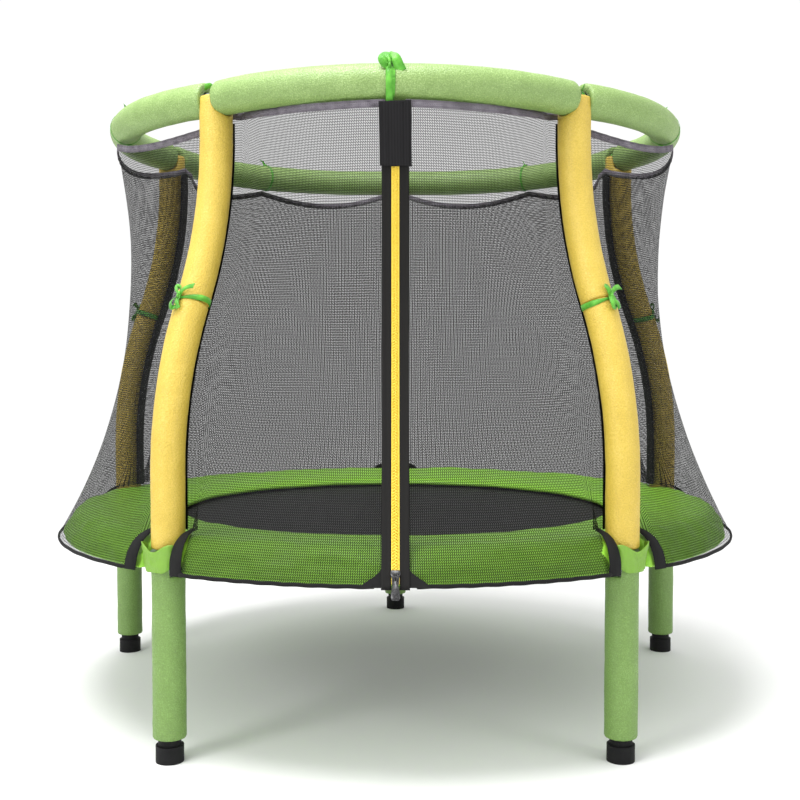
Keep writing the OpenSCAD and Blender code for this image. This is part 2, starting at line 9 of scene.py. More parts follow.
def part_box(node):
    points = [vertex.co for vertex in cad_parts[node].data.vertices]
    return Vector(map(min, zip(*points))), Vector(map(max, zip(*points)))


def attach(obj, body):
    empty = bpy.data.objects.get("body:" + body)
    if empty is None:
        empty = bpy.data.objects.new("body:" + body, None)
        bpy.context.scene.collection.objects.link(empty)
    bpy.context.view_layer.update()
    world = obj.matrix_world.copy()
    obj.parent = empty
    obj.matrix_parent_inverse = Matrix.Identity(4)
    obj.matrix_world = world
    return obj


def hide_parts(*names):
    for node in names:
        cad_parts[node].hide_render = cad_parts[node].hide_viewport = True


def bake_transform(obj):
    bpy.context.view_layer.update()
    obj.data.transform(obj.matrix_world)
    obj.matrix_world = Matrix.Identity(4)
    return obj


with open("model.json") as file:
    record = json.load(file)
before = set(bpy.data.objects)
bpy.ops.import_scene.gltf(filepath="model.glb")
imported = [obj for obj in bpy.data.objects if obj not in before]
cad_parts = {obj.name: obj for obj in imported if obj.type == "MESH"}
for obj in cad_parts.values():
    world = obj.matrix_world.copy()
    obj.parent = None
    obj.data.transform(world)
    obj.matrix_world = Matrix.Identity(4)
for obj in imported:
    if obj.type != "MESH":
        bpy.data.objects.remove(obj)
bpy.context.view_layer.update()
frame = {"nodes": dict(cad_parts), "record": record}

RECORD = frame["record"]
NODES = frame["nodes"]
ROOT, MAT = "frame_and_net", "mat"
UP = Vector((0, 0, 1))
TURN = 2 * pi

# ---- Driving sizes, in metres and radians ----

SIDES = 5
STEP = TURN / SIDES
FIRST = radians(-54)
FRONT = SIDES - 1

BASE_R = Vector(next(m for m in RECORD["mounts"] if m["name"] == "foot_1")["pos_m"]).length
BASE_Z = 0.345
POLE_TOP_R, BEND_R, BEND_Z = 0.536, 0.746, 0.490
LEAN = acos(1 - (BASE_R - POLE_TOP_R) / (2 * BEND_R))
BEND_MID_Z = BEND_Z + BEND_R * sin(LEAN)
BEND_END_Z = BEND_Z + 2 * BEND_R * sin(LEAN)
POLE_SLEEVE_R, LEG_SLEEVE_R, RING_SLEEVE_R = 0.029, 0.0285, 0.0305
POLE_BORE_R, LEG_BORE_R, RING_BORE_R = 0.0155, 0.0185, 0.0135
RING_Z, RING_MID_R = 1.142, 0.561
HALF_CHORD = POLE_TOP_R * sin(STEP / 2)
RING_RISE = RING_MID_R - POLE_TOP_R * cos(STEP / 2)
RING_ARC_R = (HALF_CHORD ** 2 + RING_RISE ** 2) / (2 * RING_RISE)
RING_HALF = asin(HALF_CHORD / RING_ARC_R)
RING_OFF = RING_MID_R - RING_ARC_R

ZIP_Y, ZIP_Z, ZIP_ARC = -1.600, 0.871, 1.049
ZIP_LOW, ZIP_HIGH = 0.328, 1.100
SLIDER_Z, FLAP_Z = 0.344, 1.057
NET_OFF, HEM_Z = 0.0335, 1.104
NET_TALL, NET_MEAN_R, NET_UV_WIDE = 0.80, 0.62, 0.76  # flat height, mean radius, flat width
TAPE_INNER, TAPE_OUTER = 0.0062, 0.0225
MAT_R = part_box("mat")[1][0]
MAT_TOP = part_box("mat")[1][2]
MAT_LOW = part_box("mat")[0][2]
SPRING_Z = 0.352
SPRINGS = 6


def mix(a, b, t):
    return a + (b - a) * t


def clamp(t):
    return min(1.0, max(0.0, t))


def smooth(a, b, x):
    t = clamp((x - a) / (b - a))
    return t * t * (3 - 2 * t)


def polar(r, a, z):
    return Vector((r * cos(a), r * sin(a), z))


def heading(a):
    """Unit vectors outward and along the ring at angle a."""
    return Vector((cos(a), sin(a), 0)), Vector((-sin(a), cos(a), 0))


def pole_angle(i):
    return FIRST + STEP * i


def side_angle(i):
    return pole_angle(i) + STEP / 2


def bend_in(h):
    return BEND_R - sqrt(BEND_R ** 2 - h ** 2)


def pole_r(z):
    if z <= BEND_Z:
        return BASE_R
    if z <= BEND_MID_Z:
        return BASE_R - bend_in(z - BEND_Z)
    if z <= BEND_END_Z:
        return POLE_TOP_R + bend_in(BEND_END_Z - z)
    return POLE_TOP_R


# ---- Mesh helpers ----

def add_mesh(name, verts, faces, material, uvs=None, flat=False):
    """A new mesh object. uvs gives one (u, v) in metres for each vertex."""
    mesh = bpy.data.meshes.new(name)
    mesh.from_pydata([tuple(v) for v in verts], [], faces)
    mesh.validate()
    if uvs:
        layer = mesh.uv_layers.new(name="cloth")
        for loop in mesh.loops:
            layer.data[loop.index].uv = uvs[loop.vertex_index]
    if not flat:
        mesh.polygons.foreach_set("use_smooth", [True] * len(mesh.polygons))
    mesh.materials.append(material)
    obj = bpy.data.objects.new(name, mesh)
    bpy.context.scene.collection.objects.link(obj)
    return obj


def grid(rows, cols, wrap_cols=False, wrap_rows=False, base=0):
    """Quads over a grid of points stored row by row."""
    faces = []
    for j in range(rows if wrap_rows else rows - 1):
        for k in range(cols if wrap_cols else cols - 1):
            k2, j2 = (k + 1) % cols, (j + 1) % rows
            faces.append((base + j * cols + k, base + j * cols + k2,
                          base + j2 * cols + k2, base + j2 * cols + k))
    return faces


class Parts:
    """Several shells that make one mesh."""

    def __init__(self):
        self.verts, self.faces, self.uvs = [], [], []

    def add(self, verts, faces, uvs=None):
        base = len(self.verts)
        self.verts += list(verts)
        self.faces += [tuple(base + i for i in f) for f in faces]
        self.uvs += list(uvs) if uvs else [(0.0, 0.0)] * len(verts)

    def piece(self, name, look, body, slot, *replaced):
        obj = add_mesh(name, self.verts, self.faces, M[look], self.uvs)
        return finish_piece(obj, body, slot, *replaced)


def tangents(path, closed=False):
    n = len(path)
    out = []
    for i in range(n):
        a = path[(i - 1) % n] if closed or i > 0 else path[i]
        b = path[(i + 1) % n] if closed or i < n - 1 else path[i]
        out.append((b - a).normalized())
    return out


def tube_shell(path, radius, sides=8, ref=UP, flat=1.0, caps=True):
    """A round or flattened tube along a path; ref is roughly across the path."""
    verts, faces = [], []
    for p, t in zip(path, tangents(path)):
        side = ref.cross(t)
        side = side.normalized() if side.length > 1e-6 else Vector((1, 0, 0)).cross(t).normalized()
        up = t.cross(side)
        for k in range(sides):
            a = TURN * k / sides
            verts.append(p + side * cos(a) * radius + up * sin(a) * radius * flat)
    faces = grid(len(path), sides, wrap_cols=True)
    if caps:
        faces.append(tuple(range(sides))[::-1])
        last = (len(path) - 1) * sides
        faces.append(tuple(range(last, last + sides)))
    return verts, faces


def spline(p0, p1, p2, p3, t):
    """The point at t, from 0 to 1, on a Catmull-Rom curve from p1 to p2."""
    return 0.5 * ((2 * p1) + (p2 - p0) * t + (2 * p0 - 5 * p1 + 4 * p2 - p3) * t * t
                  + (3 * p1 - p0 - 3 * p2 + p3) * t ** 3)


def smooth_path(points, per):
    """A smooth curve through the points, with per steps between each two."""
    pts = [points[0]] + list(points) + [points[-1]]
    out = []
    for i in range(1, len(pts) - 2):
        out += [spline(*pts[i - 1:i + 3], k / per) for k in range(per)]
    out.append(points[-1].copy())
    return out


def strip_shell(path, sides, widths, thick=0.0006):
    """A flat band along a path with real thickness. sides are its unit cross directions."""
    verts, uvs = [], []
    run = 0.0
    ts = tangents(path)
    for i, p in enumerate(path):
        if i:
            run += (p - path[i - 1]).length
        side = sides[i].normalized()
        up = ts[i].cross(side).normalized() * thick / 2
        half = side * widths[i] / 2
        verts += [p - half + up, p + half + up, p + half - up, p - half - up]
        w = widths[i]
        uvs += [(-w / 2, run), (w / 2, run), (w / 2, run), (-w / 2, run)]
    faces = grid(len(path), 4, wrap_cols=True)
    last = 4 * (len(path) - 1)
    faces += [(3, 2, 1, 0), (last, last + 1, last + 2, last + 3)]
    return verts, faces, uvs


def rough(p, scale, seed=0.0):
    return noise.noise(Vector((p[0] / scale + seed, p[1] / scale - seed, p[2] / scale + 2 * seed)))


# ---- Material helpers ----

def lin(r, g, b):
    def one(c):
        c /= 255
        return c / 12.92 if c <= 0.04045 else ((c + 0.055) / 1.055) ** 2.4
    return (one(r), one(g), one(b), 1.0)


class Shader:
    """A Principled material and short calls for the nodes behind it."""

    def __init__(self, name, color, roughness, metallic=0.0, sheen=0.0, specular=None):
        self.mat = bpy.data.materials.new(name)
        self.mat.use_nodes = True
        self.nt = self.mat.node_tree
        self.bsdf = next(n for n in self.nt.nodes if n.type == "BSDF_PRINCIPLED")
        self.bsdf.inputs["Base Color"].default_value = color
        self.bsdf.inputs["Roughness"].default_value = roughness
        self.bsdf.inputs["Metallic"].default_value = metallic
        self.bsdf.inputs["Sheen Weight"].default_value = sheen
        if specular is not None:
            self.bsdf.inputs["Specular IOR Level"].default_value = specular
        self.coords = self.node("ShaderNodeTexCoord")
        self.point = self.coords.outputs["Object"]

    def node(self, kind, **props):
        n = self.nt.nodes.new(kind)
        for key, value in props.items():
            setattr(n, key, value)
        return n

    def put(self, socket, value):
        if hasattr(value, "links"):
            self.nt.links.new(value, socket)
        else:
            socket.default_value = value

    def math(self, op, a, b=0.0, clamp_it=False):
        n = self.node("ShaderNodeMath", operation=op, use_clamp=clamp_it)
        self.put(n.inputs[0], a)
        self.put(n.inputs[1], b)
        return n.outputs[0]

    def add(self, a, b):
        return self.math("ADD", a, b)

    def mul(self, a, b):
        return self.math("MULTIPLY", a, b)

    def noise(self, scale, detail=2.0, rough_=0.5, vector=None):
        n = self.node("ShaderNodeTexNoise")
        self.put(n.inputs["Vector"], vector or self.point)
        n.inputs["Scale"].default_value = scale
        n.inputs["Detail"].default_value = detail
        n.inputs["Roughness"].default_value = rough_
        return n.outputs["Fac"]

    def cells(self, scale, feature="F1", vector=None):
        n = self.node("ShaderNodeTexVoronoi", feature=feature)
        self.put(n.inputs["Vector"], vector or self.point)
        n.inputs["Scale"].default_value = scale
        return n.outputs["Distance"]

    def uv(self):
        n = self.node("ShaderNodeUVMap", uv_map="cloth")
        split = self.node("ShaderNodeSeparateXYZ")
        self.put(split.inputs[0], n.outputs["UV"])
        return split.outputs["X"], split.outputs["Y"]

    def wave(self, value, period, phase=0.0):
        """A sine from 0 to 1 that repeats each period."""
        turned = self.add(self.mul(value, TURN / period), phase)
        return self.half(turned)

    def half(self, turned):
        s = self.math("SINE", turned)
        return self.add(self.mul(s, 0.5), 0.5)

    def ramp(self, fac, *stops):
        n = self.node("ShaderNodeValToRGB")
        while len(n.color_ramp.elements) < len(stops):
            n.color_ramp.elements.new(0.5)
        for e, (pos, col) in zip(n.color_ramp.elements, stops):
            e.position, e.color = pos, col
        self.put(n.inputs["Fac"], fac)
        return n.outputs["Color"]

    def span(self, value, a, b, low=0.0, high=1.0):
        n = self.node("ShaderNodeMapRange", clamp=True)
        self.put(n.inputs["Value"], value)
        for key, v in (("From Min", a), ("From Max", b), ("To Min", low), ("To Max", high)):
            n.inputs[key].default_value = v
        return n.outputs["Result"]

    def bump(self, height, strength, distance):
        n = self.node("ShaderNodeBump")
        self.put(n.inputs["Height"], height)
        n.inputs["Strength"].default_value = strength
        n.inputs["Distance"].default_value = distance
        self.put(self.bsdf.inputs["Normal"], n.outputs["Normal"])

    def color(self, socket):
        self.put(self.bsdf.inputs["Base Color"], socket)

    def roughness(self, socket):
        self.put(self.bsdf.inputs["Roughness"], socket)


def shade(color, k):
    return (color[0] * k, color[1] * k, color[2] * k, 1.0)


# ---- Materials ----

def foam_material(name, color, light):
    """Closed-cell foam: small cells with pale walls, and faint mottling along the tube."""
    s = Shader(name, color, 0.48, specular=0.75)
    cells = s.cells(360)
    fine = s.noise(520, 2)
    broad = s.noise(26, 3)
    mottle = s.add(s.mul(fine, 0.75), s.mul(broad, 0.25))
    s.color(s.ramp(mottle, (0.34, shade(color, 0.84)), (0.5, color), (0.68, light)))
    s.roughness(s.span(cells, 0.1, 0.6, 0.34, 0.62))
    s.bump(s.add(cells, s.mul(broad, 1.2)), 0.45, 0.0014)
    return s.mat


def steel_material(name, color, roughness):
    """Zinc-coated steel with a soft spangle and faint draw marks."""
    s = Shader(name, color, roughness, metallic=0.9)
    spangle = s.cells(190)
    cloud = s.noise(35, 4)
    s.color(s.ramp(s.add(s.mul(spangle, 0.5), s.mul(cloud, 0.5)),
                   (0.25, shade(color, 0.82)), (0.7, color)))
    s.roughness(s.span(cloud, 0.3, 0.7, roughness - 0.08, roughness + 0.12))
    s.bump(s.noise(420, 2), 0.15, 0.0004)
    return s.mat


def rubber_material():
    s = Shader("foot_rubber", lin(16, 16, 17), 0.75, specular=0.2)
    grain = s.noise(750, 3)
    s.color(s.ramp(s.noise(30, 3), (0.35, lin(12, 12, 13)), (0.7, lin(24, 24, 25))))
    s.roughness(s.span(grain, 0.3, 0.7, 0.55, 0.8))
    s.bump(grain, 0.25, 0.0006)
    return s.mat


def mat_material():
    """Woven polypropylene: flat black tapes over and under, with a few pale glints."""
    s = Shader("mat_weave", lin(46, 46, 46), 0.55, specular=0.35)
    split = s.node("ShaderNodeSeparateXYZ")
    s.put(split.inputs[0], s.point)
    pitch = 0.0032
    across = s.wave(split.outputs["X"], pitch)
    along = s.wave(split.outputs["Y"], pitch)
    weave = s.mul(across, along)
    glint = s.math("GREATER_THAN", s.noise(420, 1), 0.69)
    shine = s.add(s.mul(weave, 0.45), s.mul(glint, 0.55))
    s.color(s.ramp(shine, (0.0, lin(22, 22, 22)), (0.45, lin(42, 42, 42)), (1.0, lin(92, 92, 90))))
    s.bump(weave, 0.5, 0.0005)
    return s.mat


def cloth_material(name, color, roughness, pitch=0.0011, sheen=0.0, contrast=0.16, wrinkle=0.3):
    """Plain-woven coated cloth with a fine thread pattern and soft creases."""
    s = Shader(name, color, roughness, sheen=sheen)
    u, v = s.uv()
    weave = s.mul(s.wave(u, pitch), s.wave(v, pitch))
    cloud = s.noise(24, 4, 0.6)
    tone = s.add(s.mul(weave, 0.3), s.mul(cloud, 0.7))
    s.color(s.ramp(tone, (0.22, shade(color, 1 - contrast)), (0.5, color),
                   (0.8, shade(color, 1 + contrast))))
    s.roughness(s.span(cloud, 0.3, 0.7, roughness - 0.06, roughness + 0.1))
    s.bump(s.add(s.mul(weave, 0.25), s.mul(s.noise(90, 3), 1.2)),
           wrinkle, 0.0012)
    return s.mat


def webbing_material(name, color, rib=0.0016):
    """Black woven tape with ribs along its length."""
    s = Shader(name, color, 0.8, specular=0.25)
    u, v = s.uv()
    ribs = s.wave(u, rib)
    picks = s.wave(v, 0.0011)
    height = s.add(ribs, s.mul(picks, 0.5))
    s.color(s.ramp(s.mul(height, 0.66), (0.15, shade(color, 0.6)),
                   (0.85, shade(color, 1.5))))
    s.bump(height, 0.5, 0.0004)
    return s.mat


def net_material(name, edge, thread, lift=0.0):
    """Knitted mesh: wavy rows of thread joined by short loops, see-through between them.
    A lower edge gives thicker thread; lift closes the holes a little."""
    s = Shader(name, thread, 0.85, specular=0.1)
    u, v = s.uv()
    row, col = 0.0043, 0.0031
    zig = s.mul(s.math("SINE", s.mul(u, TURN / col)), 1.5)
    rows = s.half(s.add(s.mul(v, TURN / row), zig))
    loops = s.mul(s.wave(u, col, 1.2), 0.9)
    body = s.math("MAXIMUM", rows, loops)
    alpha = s.span(body, edge - 0.2, edge + 0.2, lift, 1.0)
    s.put(s.bsdf.inputs["Alpha"], alpha)
    s.color(s.ramp(s.noise(60, 3), (0.3, shade(thread, 0.7)), (0.7, shade(thread, 1.3))))
    return s.mat


def coil_material():
    s = Shader("zip_yellow", lin(243, 214, 60), 0.35, specular=0.5)
    s.color(s.ramp(s.noise(500, 2), (0.3, lin(226, 190, 38)), (0.7, lin(250, 226, 92))))
    s.bump(s.noise(900, 2), 0.15, 0.0003)
    return s.mat


def zip_metal_material():
    s = Shader("zip_metal", lin(40, 40, 41), 0.3, metallic=0.25, specular=0.6)
    s.roughness(s.span(s.noise(160, 3), 0.3, 0.7, 0.22, 0.45))
    s.color(s.ramp(s.noise(70, 3), (0.3, lin(28, 28, 29)), (0.75, lin(58, 58, 60))))
    s.bump(s.noise(600, 2), 0.1, 0.0003)
    return s.mat


def ribbon_material():
    """Satin ribbon: a smooth light green with fine cross threads."""
    s = Shader("ribbon_satin", lin(80, 164, 40), 0.46, sheen=0.1, specular=0.32)
    u, v = s.uv()
    threads = s.wave(v, 0.0008)
    s.color(s.ramp(s.noise(70, 3), (0.3, lin(58, 134, 24)), (0.72, lin(102, 182, 60))))
    s.bump(s.add(s.mul(threads, 0.2), s.noise(150, 2)), 0.3, 0.0008)
    return s.mat


FOAM_GREEN = lin(98, 132, 54)
FOAM_YELLOW = lin(196, 168, 56)
M = {
    "foot_rubber": rubber_material(),
    "steel": steel_material("galvanised", lin(176, 179, 182), 0.38),
    "fastener": steel_material("fastener", lin(160, 162, 165), 0.3),
    "spring": steel_material("spring_wire", lin(196, 198, 201), 0.24),
    "green_foam": foam_material("green_foam", FOAM_GREEN, lin(116, 151, 74)),
    # The ring's sleeves use the same green foam as the legs in paler colours: painted light from
    # above.
    "ring_foam": foam_material("ring_foam", lin(121, 151, 78), lin(153, 181, 112)),
    "yellow_foam": foam_material("yellow_foam", FOAM_YELLOW, lin(206, 180, 80)),
    "mat": mat_material(),
    "pad": cloth_material("pad_green", lin(150, 214, 62), 0.38, contrast=0.14, wrinkle=0.45),
    "pocket": cloth_material("pocket_lime", lin(113, 158, 46), 0.4, contrast=0.12, wrinkle=0.5),
    "webbing": webbing_material("black_webbing", lin(14, 14, 14)),
    "tape": webbing_material("zip_tape", lin(17, 16, 15), 0.0022),
    "flap": webbing_material("flap_black", lin(19, 18, 20), 0.0048),
    "net": net_material("net_mesh", 0.71, lin(20, 20, 21), 0.1),
    "hem": net_material("net_hem", 0.40, lin(112, 107, 115), 0.45),
    "coil": coil_material(),
    "zip_metal": zip_metal_material(),
    "ribbon": ribbon_material(),
}


def finish_piece(obj, body, slot, *replaced):
    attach(obj, body)
    if replaced:
        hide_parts(*replaced)
    return obj


def dress_nodes():
    """Gives the CAD nodes that stay in sight their materials."""
    looks = {"foot_caps": "foot_rubber", "joint_bolts": "fastener", "frame_screws": "fastener",
             "mat_rings": "spring"}
    for name in ("leg_tubes", "pole_lower_tubes", "pole_upper_tubes", "pole_couplers",
                 "pole_top_joints", "ring_tubes"):
        looks[name] = "steel"
    for i in range(1, SIDES + 1):
        looks[f"frame_joint_{i}"] = looks[f"frame_tube_{i}"] = "steel"
    for name, look in looks.items():
        obj = NODES[name]
        obj.data.materials.clear()
        obj.data.materials.append(M[look])


# ---- Foam sleeves ----

def foam_sleeve(name, centre, length, r_out, r_in, look, ref, limit=None):
    """A foam tube along centre(s), with rounded rims, a bore and slight dents.
    limit(phi) gives where its upper rim ends round the tube."""
    round_r, around = 0.004, 56
    bore_in = 0.05
    steps = max(8, int(length / 0.011))
    ring = [(bore_in, r_in), (0.004, r_in), (0.0, r_in + 0.002), (0.0, r_out - round_r),
            (0.0012, r_out - 0.0012), (round_r, r_out)]
    ring += [(mix(round_r, length - round_r, k / steps), r_out) for k in range(1, steps)]
    ring += [(length - s, r) for s, r in reversed(ring[:6])]
    blend_from = length * 0.75
    verts = []
    for s, r in ring:
        for k in range(around):
            phi = TURN * k / around
            t = s
            if limit and s > blend_from:
                t = mix(blend_from, limit(phi), (s - blend_from) / (length - blend_from))
            p, q = centre(t), centre(t + 0.001)
            along = (q - p).normalized()
            out = ref.cross(along).normalized()
            across = along.cross(out)
            wobble = 0.0
            if r > r_in + 0.003:
                spot = p + out * r * cos(phi) + across * r * sin(phi)
                wobble = 0.0005 * rough(spot, 0.05, 3.1) + 0.00035 * rough(spot, 0.016, 7.7)
            verts.append(p + out * cos(phi) * (r + wobble) + across * sin(phi) * (r + wobble))
    return add_mesh(name, verts, grid(len(ring), around, wrap_cols=True), M[look])


def leg_sleeves():
    low, top = 0.041, 0.350
    for i in range(SIDES):
        a = pole_angle(i)
        tangent = heading(a)[1]

        def centre(s):
            return polar(BASE_R, a, low + s)

        def limit(phi):
            slot = smooth(0.0185, 0.0205, abs(LEG_SLEEVE_R * cos(phi)))
            return mix(0.3205, top, slot) - low

        obj = foam_sleeve(f"leg_foam_{i + 1}", centre, top - low, LEG_SLEEVE_R, LEG_BORE_R,
                          "green_foam", tangent, limit)
        finish_piece(obj, ROOT, "leg_foam", f"leg_sleeve_{i + 1}")


def pole_centre(i, z0):
    """The pole's centre line as a function of the length run from height z0."""
    a = pole_angle(i)
    knots = [(0.0, z0)]
    z, run = z0, 0.0
    while z < 1.16:
        step = 0.004
        run += hypot(step, pole_r(z + step) - pole_r(z))
        z += step
        knots.append((run, z))

    def centre(s):
        if s <= 0:
            return polar(pole_r(z0 + s), a, z0 + s)
        k = min(len(knots) - 2, int(s / knots[-1][0] * (len(knots) - 1)))
        while k > 0 and knots[k][0] > s:
            k -= 1
        while k < len(knots) - 2 and knots[k + 1][0] < s:
            k += 1
        t = (s - knots[k][0]) / (knots[k + 1][0] - knots[k][0])
        z1 = mix(knots[k][1], knots[k + 1][1], t)
        return polar(pole_r(z1), a, z1)

    def run_at(z1):
        for k in range(len(knots) - 1):
            if knots[k + 1][1] >= z1:
                t = (z1 - knots[k][1]) / (knots[k + 1][1] - knots[k][1])
                return mix(knots[k][0], knots[k + 1][0], t)
        return knots[-1][0]
    return centre, run_at


def pole_sleeves():
    low, top, gap_half = 0.366, 1.146, 0.0165
    for i in range(SIDES):
        a = pole_angle(i)
        tangent = heading(a)[1]
        centre, run_at = pole_centre(i, low)
        half = run_at(BEND_MID_Z)
        obj = foam_sleeve(f"pole_foam_lower_{i + 1}", centre, half - 0.0004,
                          POLE_SLEEVE_R, POLE_BORE_R, "yellow_foam", tangent)
        finish_piece(obj, ROOT, "pole_foam", f"pole_sleeve_lower_{i + 1}")
        upper, upper_at = pole_centre(i, BEND_MID_Z)
        full = upper_at(top)

        def limit(phi):
            """The upper rim: high between the two ring sleeves, pressed down under each."""
            x, y = POLE_SLEEVE_R * cos(phi), abs(POLE_SLEEVE_R * sin(phi))
            under = RING_Z - sqrt(max(0, RING_SLEEVE_R ** 2 - x ** 2)) - 0.0006
            z1 = mix(top, under, smooth(gap_half - 0.002, gap_half + 0.001, y))
            return full - (top - z1)

        obj = foam_sleeve(f"pole_foam_upper_{i + 1}", upper, full,
                          POLE_SLEEVE_R, POLE_BORE_R, "yellow_foam", tangent, limit)
        finish_piece(obj, ROOT, "pole_foam", f"pole_sleeve_upper_{i + 1}")


def ring_point(i, t):
    """A point on the top ring's centre line; t is an angle on the fifth's own arc."""
    a = side_angle(i)
    local = Vector((RING_OFF + RING_ARC_R * cos(t), RING_ARC_R * sin(t), RING_Z))
    return Matrix.Rotation(a, 3, "Z") @ local


def ring_sleeves():
    gap = 0.017
    for i in range(SIDES):
        start = -RING_HALF + gap / RING_ARC_R
        length = 2 * (RING_HALF * RING_ARC_R - gap)

        def centre(s):
            return ring_point(i, start + s / RING_ARC_R)

        obj = foam_sleeve(f"ring_foam_{i + 1}", centre, length, RING_SLEEVE_R, RING_BORE_R,
                          "ring_foam", UP)
        finish_piece(obj, ROOT, "ring_foam", f"ring_sleeve_{i + 1}")


# ---- Net ----

def panel_mid_r(z):
    return -ZIP_Y - sqrt(ZIP_ARC ** 2 - (z - ZIP_Z) ** 2)


def swell(t, z):
    """1 at the middle of a panel, 0 at a pole."""
    if t >= 0.9:
        return 0.0
    low = clamp((1.0 - z) / 0.6)
    return 1 - (t / 0.9) ** (2.2 + 22 * low ** 3 + 36 * low ** 12)


def hem_height(i, t):
    sag, lift = (0.001, 0.020) if i == FRONT else (0.024, 0.013)
    return HEM_Z - sag * sin(pi * t) + 0.006 * (1 - t) + lift * t ** 2.5


def low_height(t):
    return mix(0.335, 0.396, smooth(0.85, 0.89, t))


def net_point(i, u, v, off=0.0):
    t = abs(2 * u - 1)
    z = mix(low_height(t), hem_height(i, t), v)
    a = pole_angle(i) + STEP * u
    r = mix(pole_r(z) - NET_OFF, panel_mid_r(z), swell(t, z)) + off
    free = smooth(0.0, 0.25, 1 - t) * smooth(0.0, 0.1, v) * smooth(0.0, 0.06, 1 - v)
    ripple = 0.004 * noise.noise(Vector((u * 9 + 5 * i, v * 2.4, i * 3.7)))
    ripple += 0.0016 * noise.noise(Vector((u * 30 + 5 * i, v * 5.0, i * 1.3)))
    return polar(r + free * ripple, a, z)


def net_panel(name, i, u0, u1, cols, node, hem_name):
    rows = 64
    verts, uvs = [], []
    run = [0.0] * (cols + 1)
    for j in range(rows + 1):
        v = j / rows
        for k in range(cols + 1):
            u = mix(u0, u1, k / cols)
            verts.append(net_point(i, u, v))
            if j:
                run[k] += (verts[-1] - verts[-cols - 2]).length
            uvs.append(((u - 0.5) * NET_UV_WIDE, run[k]))
    obj = add_mesh(name, verts, grid(rows + 1, cols + 1), M["net"], uvs)
    finish_piece(obj, ROOT, "net_mesh", node)
    hem = hem_band(hem_name, i, u0, u1, cols)


def hem_band(name, i, u0, u1, cols):
    """The folded and twice-stitched top hem of a net panel."""
    tall, thick = 0.013, 0.0016
    parts = Parts()
    loop = [(-0.5, -1), (0.0, -1.3), (0.5, -1), (0.5, 1), (0.0, 1.3), (-0.5, 1)]
    verts, uvs = [], []
    for k in range(cols + 1):
        u = mix(u0, u1, k / cols)
        top = net_point(i, u, 1.0)
        out = Vector((top.x, top.y, 0)).normalized()
        for h, side in loop:
            wave = 0.0006 * sin(u * 180 + 3 * h)
            verts.append(top + Vector((0, 0, h * tall - tall * 0.4))
                         + out * (side * thick / 2 + wave))
            uvs.append(((u - 0.5) * NET_UV_WIDE, h * tall))
    parts.add(verts, grid(cols + 1, len(loop), wrap_cols=True), uvs)
    for h in (-0.3, 0.28):
        for k in range(cols * 3):
            u = mix(u0, u1, (k + 0.5) / (cols * 3))
            a = net_point(i, u, 1.0)
            b = net_point(i, u + 0.0035, 1.0)
            out = Vector((a.x, a.y, 0)).normalized()
            lift = Vector((0, 0, h * tall - tall * 0.4)) + out * thick * 0.62
            v, f = tube_shell([a + lift, b + lift], 0.00035, 4)
            parts.add(v, f)
    return parts.piece(name, "hem", ROOT, "net_mesh")


def nets():
    names = ["right", "back_right", "back_left", "left"]
    for i, name in enumerate(names):
        net_panel(f"netting_{name}", i, 0.0, 1.0, 84, f"net_{name}", f"hem_{name}")
    share = (0.0205 / panel_mid_r(0.335)) / STEP
    net_panel("netting_front_left", FRONT, 0.0, 0.5 - share, 42, "net_front_left",
              "hem_front_left")
    net_panel("netting_front_right", FRONT, 0.5 + share, 1.0, 42, "net_front_right",
              "hem_front_right")


def pole_local(i, x, y, z):
    """A point beside pole i: x outward, y along the ring, from the pole's centre line."""
    a = pole_angle(i)
    r = pole_r(z)
    out, side = heading(a)
    return out * (r + x) + side * y + Vector((0, 0, z))


def webbing():
    """Curved bindings down the net behind each pole."""
    parts = Parts()
    low, high, half = 0.394, 1.104, 0.015
    rows, cols = 90, 8
    for i in range(SIDES):
        for face in (0, 1):
            verts, uvs = [], []
            for j in range(rows + 1):
                z = mix(low, high, j / rows)
                for k in range(cols + 1):
                    y = mix(-half, half, k / cols)
                    bulge = -0.0365 + 0.006 * (y / half) ** 2 - 0.0011 * face
                    verts.append(pole_local(i, bulge, y, z))
                    uvs.append((y, z))
            faces = grid(rows + 1, cols + 1)
            parts.add(verts, faces if face == 0 else [f[::-1] for f in faces], uvs)
    parts.piece("net_bindings", "webbing", ROOT, "black_webbing", "pole_webbing")


def gussets():
    """Black strips that bring the net over the pad's edge on both sides of each pole. Their wide
    lower ends also darken the pad's side beside the pole: partly real strip, partly painted shade.
    """
    parts = Parts()
    for i in range(SIDES):
        for s in (-1, 1):
            pts = [pole_local(i, x, s * y, z) for x, y, z in (
                (-0.0240, 0.0350, 0.3985), (-0.0120, 0.0390, 0.3960), (0.004, 0.0440, 0.3915),
                (0.022, 0.0490, 0.378), (0.0335, 0.0530, 0.355), (0.0365, 0.0560, 0.329))]
            path = smooth_path(pts, 6)
            side = heading(pole_angle(i))[1]
            # The widening towards the bottom covers the pad beside the pole: painted shade.
            widths = [mix(0.010, 0.027, smooth(0, 0.9, k / len(path))) for k in range(len(path))]
            parts.add(*strip_shell(path, [side] * len(path), widths, 0.0016))
    parts.piece("pole_gussets_and_shade", "webbing", ROOT, "black_webbing")


def lower_binding():
    """The elastic binding along the net's lower edge, open at the zip."""
    parts = Parts()
    for i in range(SIDES):
        ends = [(0.055, 0.945)] if i != FRONT else [(0.055, 0.462), (0.538, 0.945)]
        for u0, u1 in ends:
            path = []
            for k in range(61):
                u = mix(u0, u1, k / 60)
                p = net_point(i, u, 0.0)
                p.z = 0.333 + 0.0004 * sin(k * 0.9 + i)
                path.append(p)
            v, f = tube_shell(path, 0.0024, 10, UP, 1.4)
            parts.add(v, f, [(0.002 * (q % 10), 0.01 * (q // 10)) for q in range(len(v))])
    parts.piece("net_lower_binding", "webbing", ROOT, "black_webbing", "net_elastic")


# ---- Zip ----

def zip_angle(z):
    return asin((z - ZIP_Z) / ZIP_ARC)


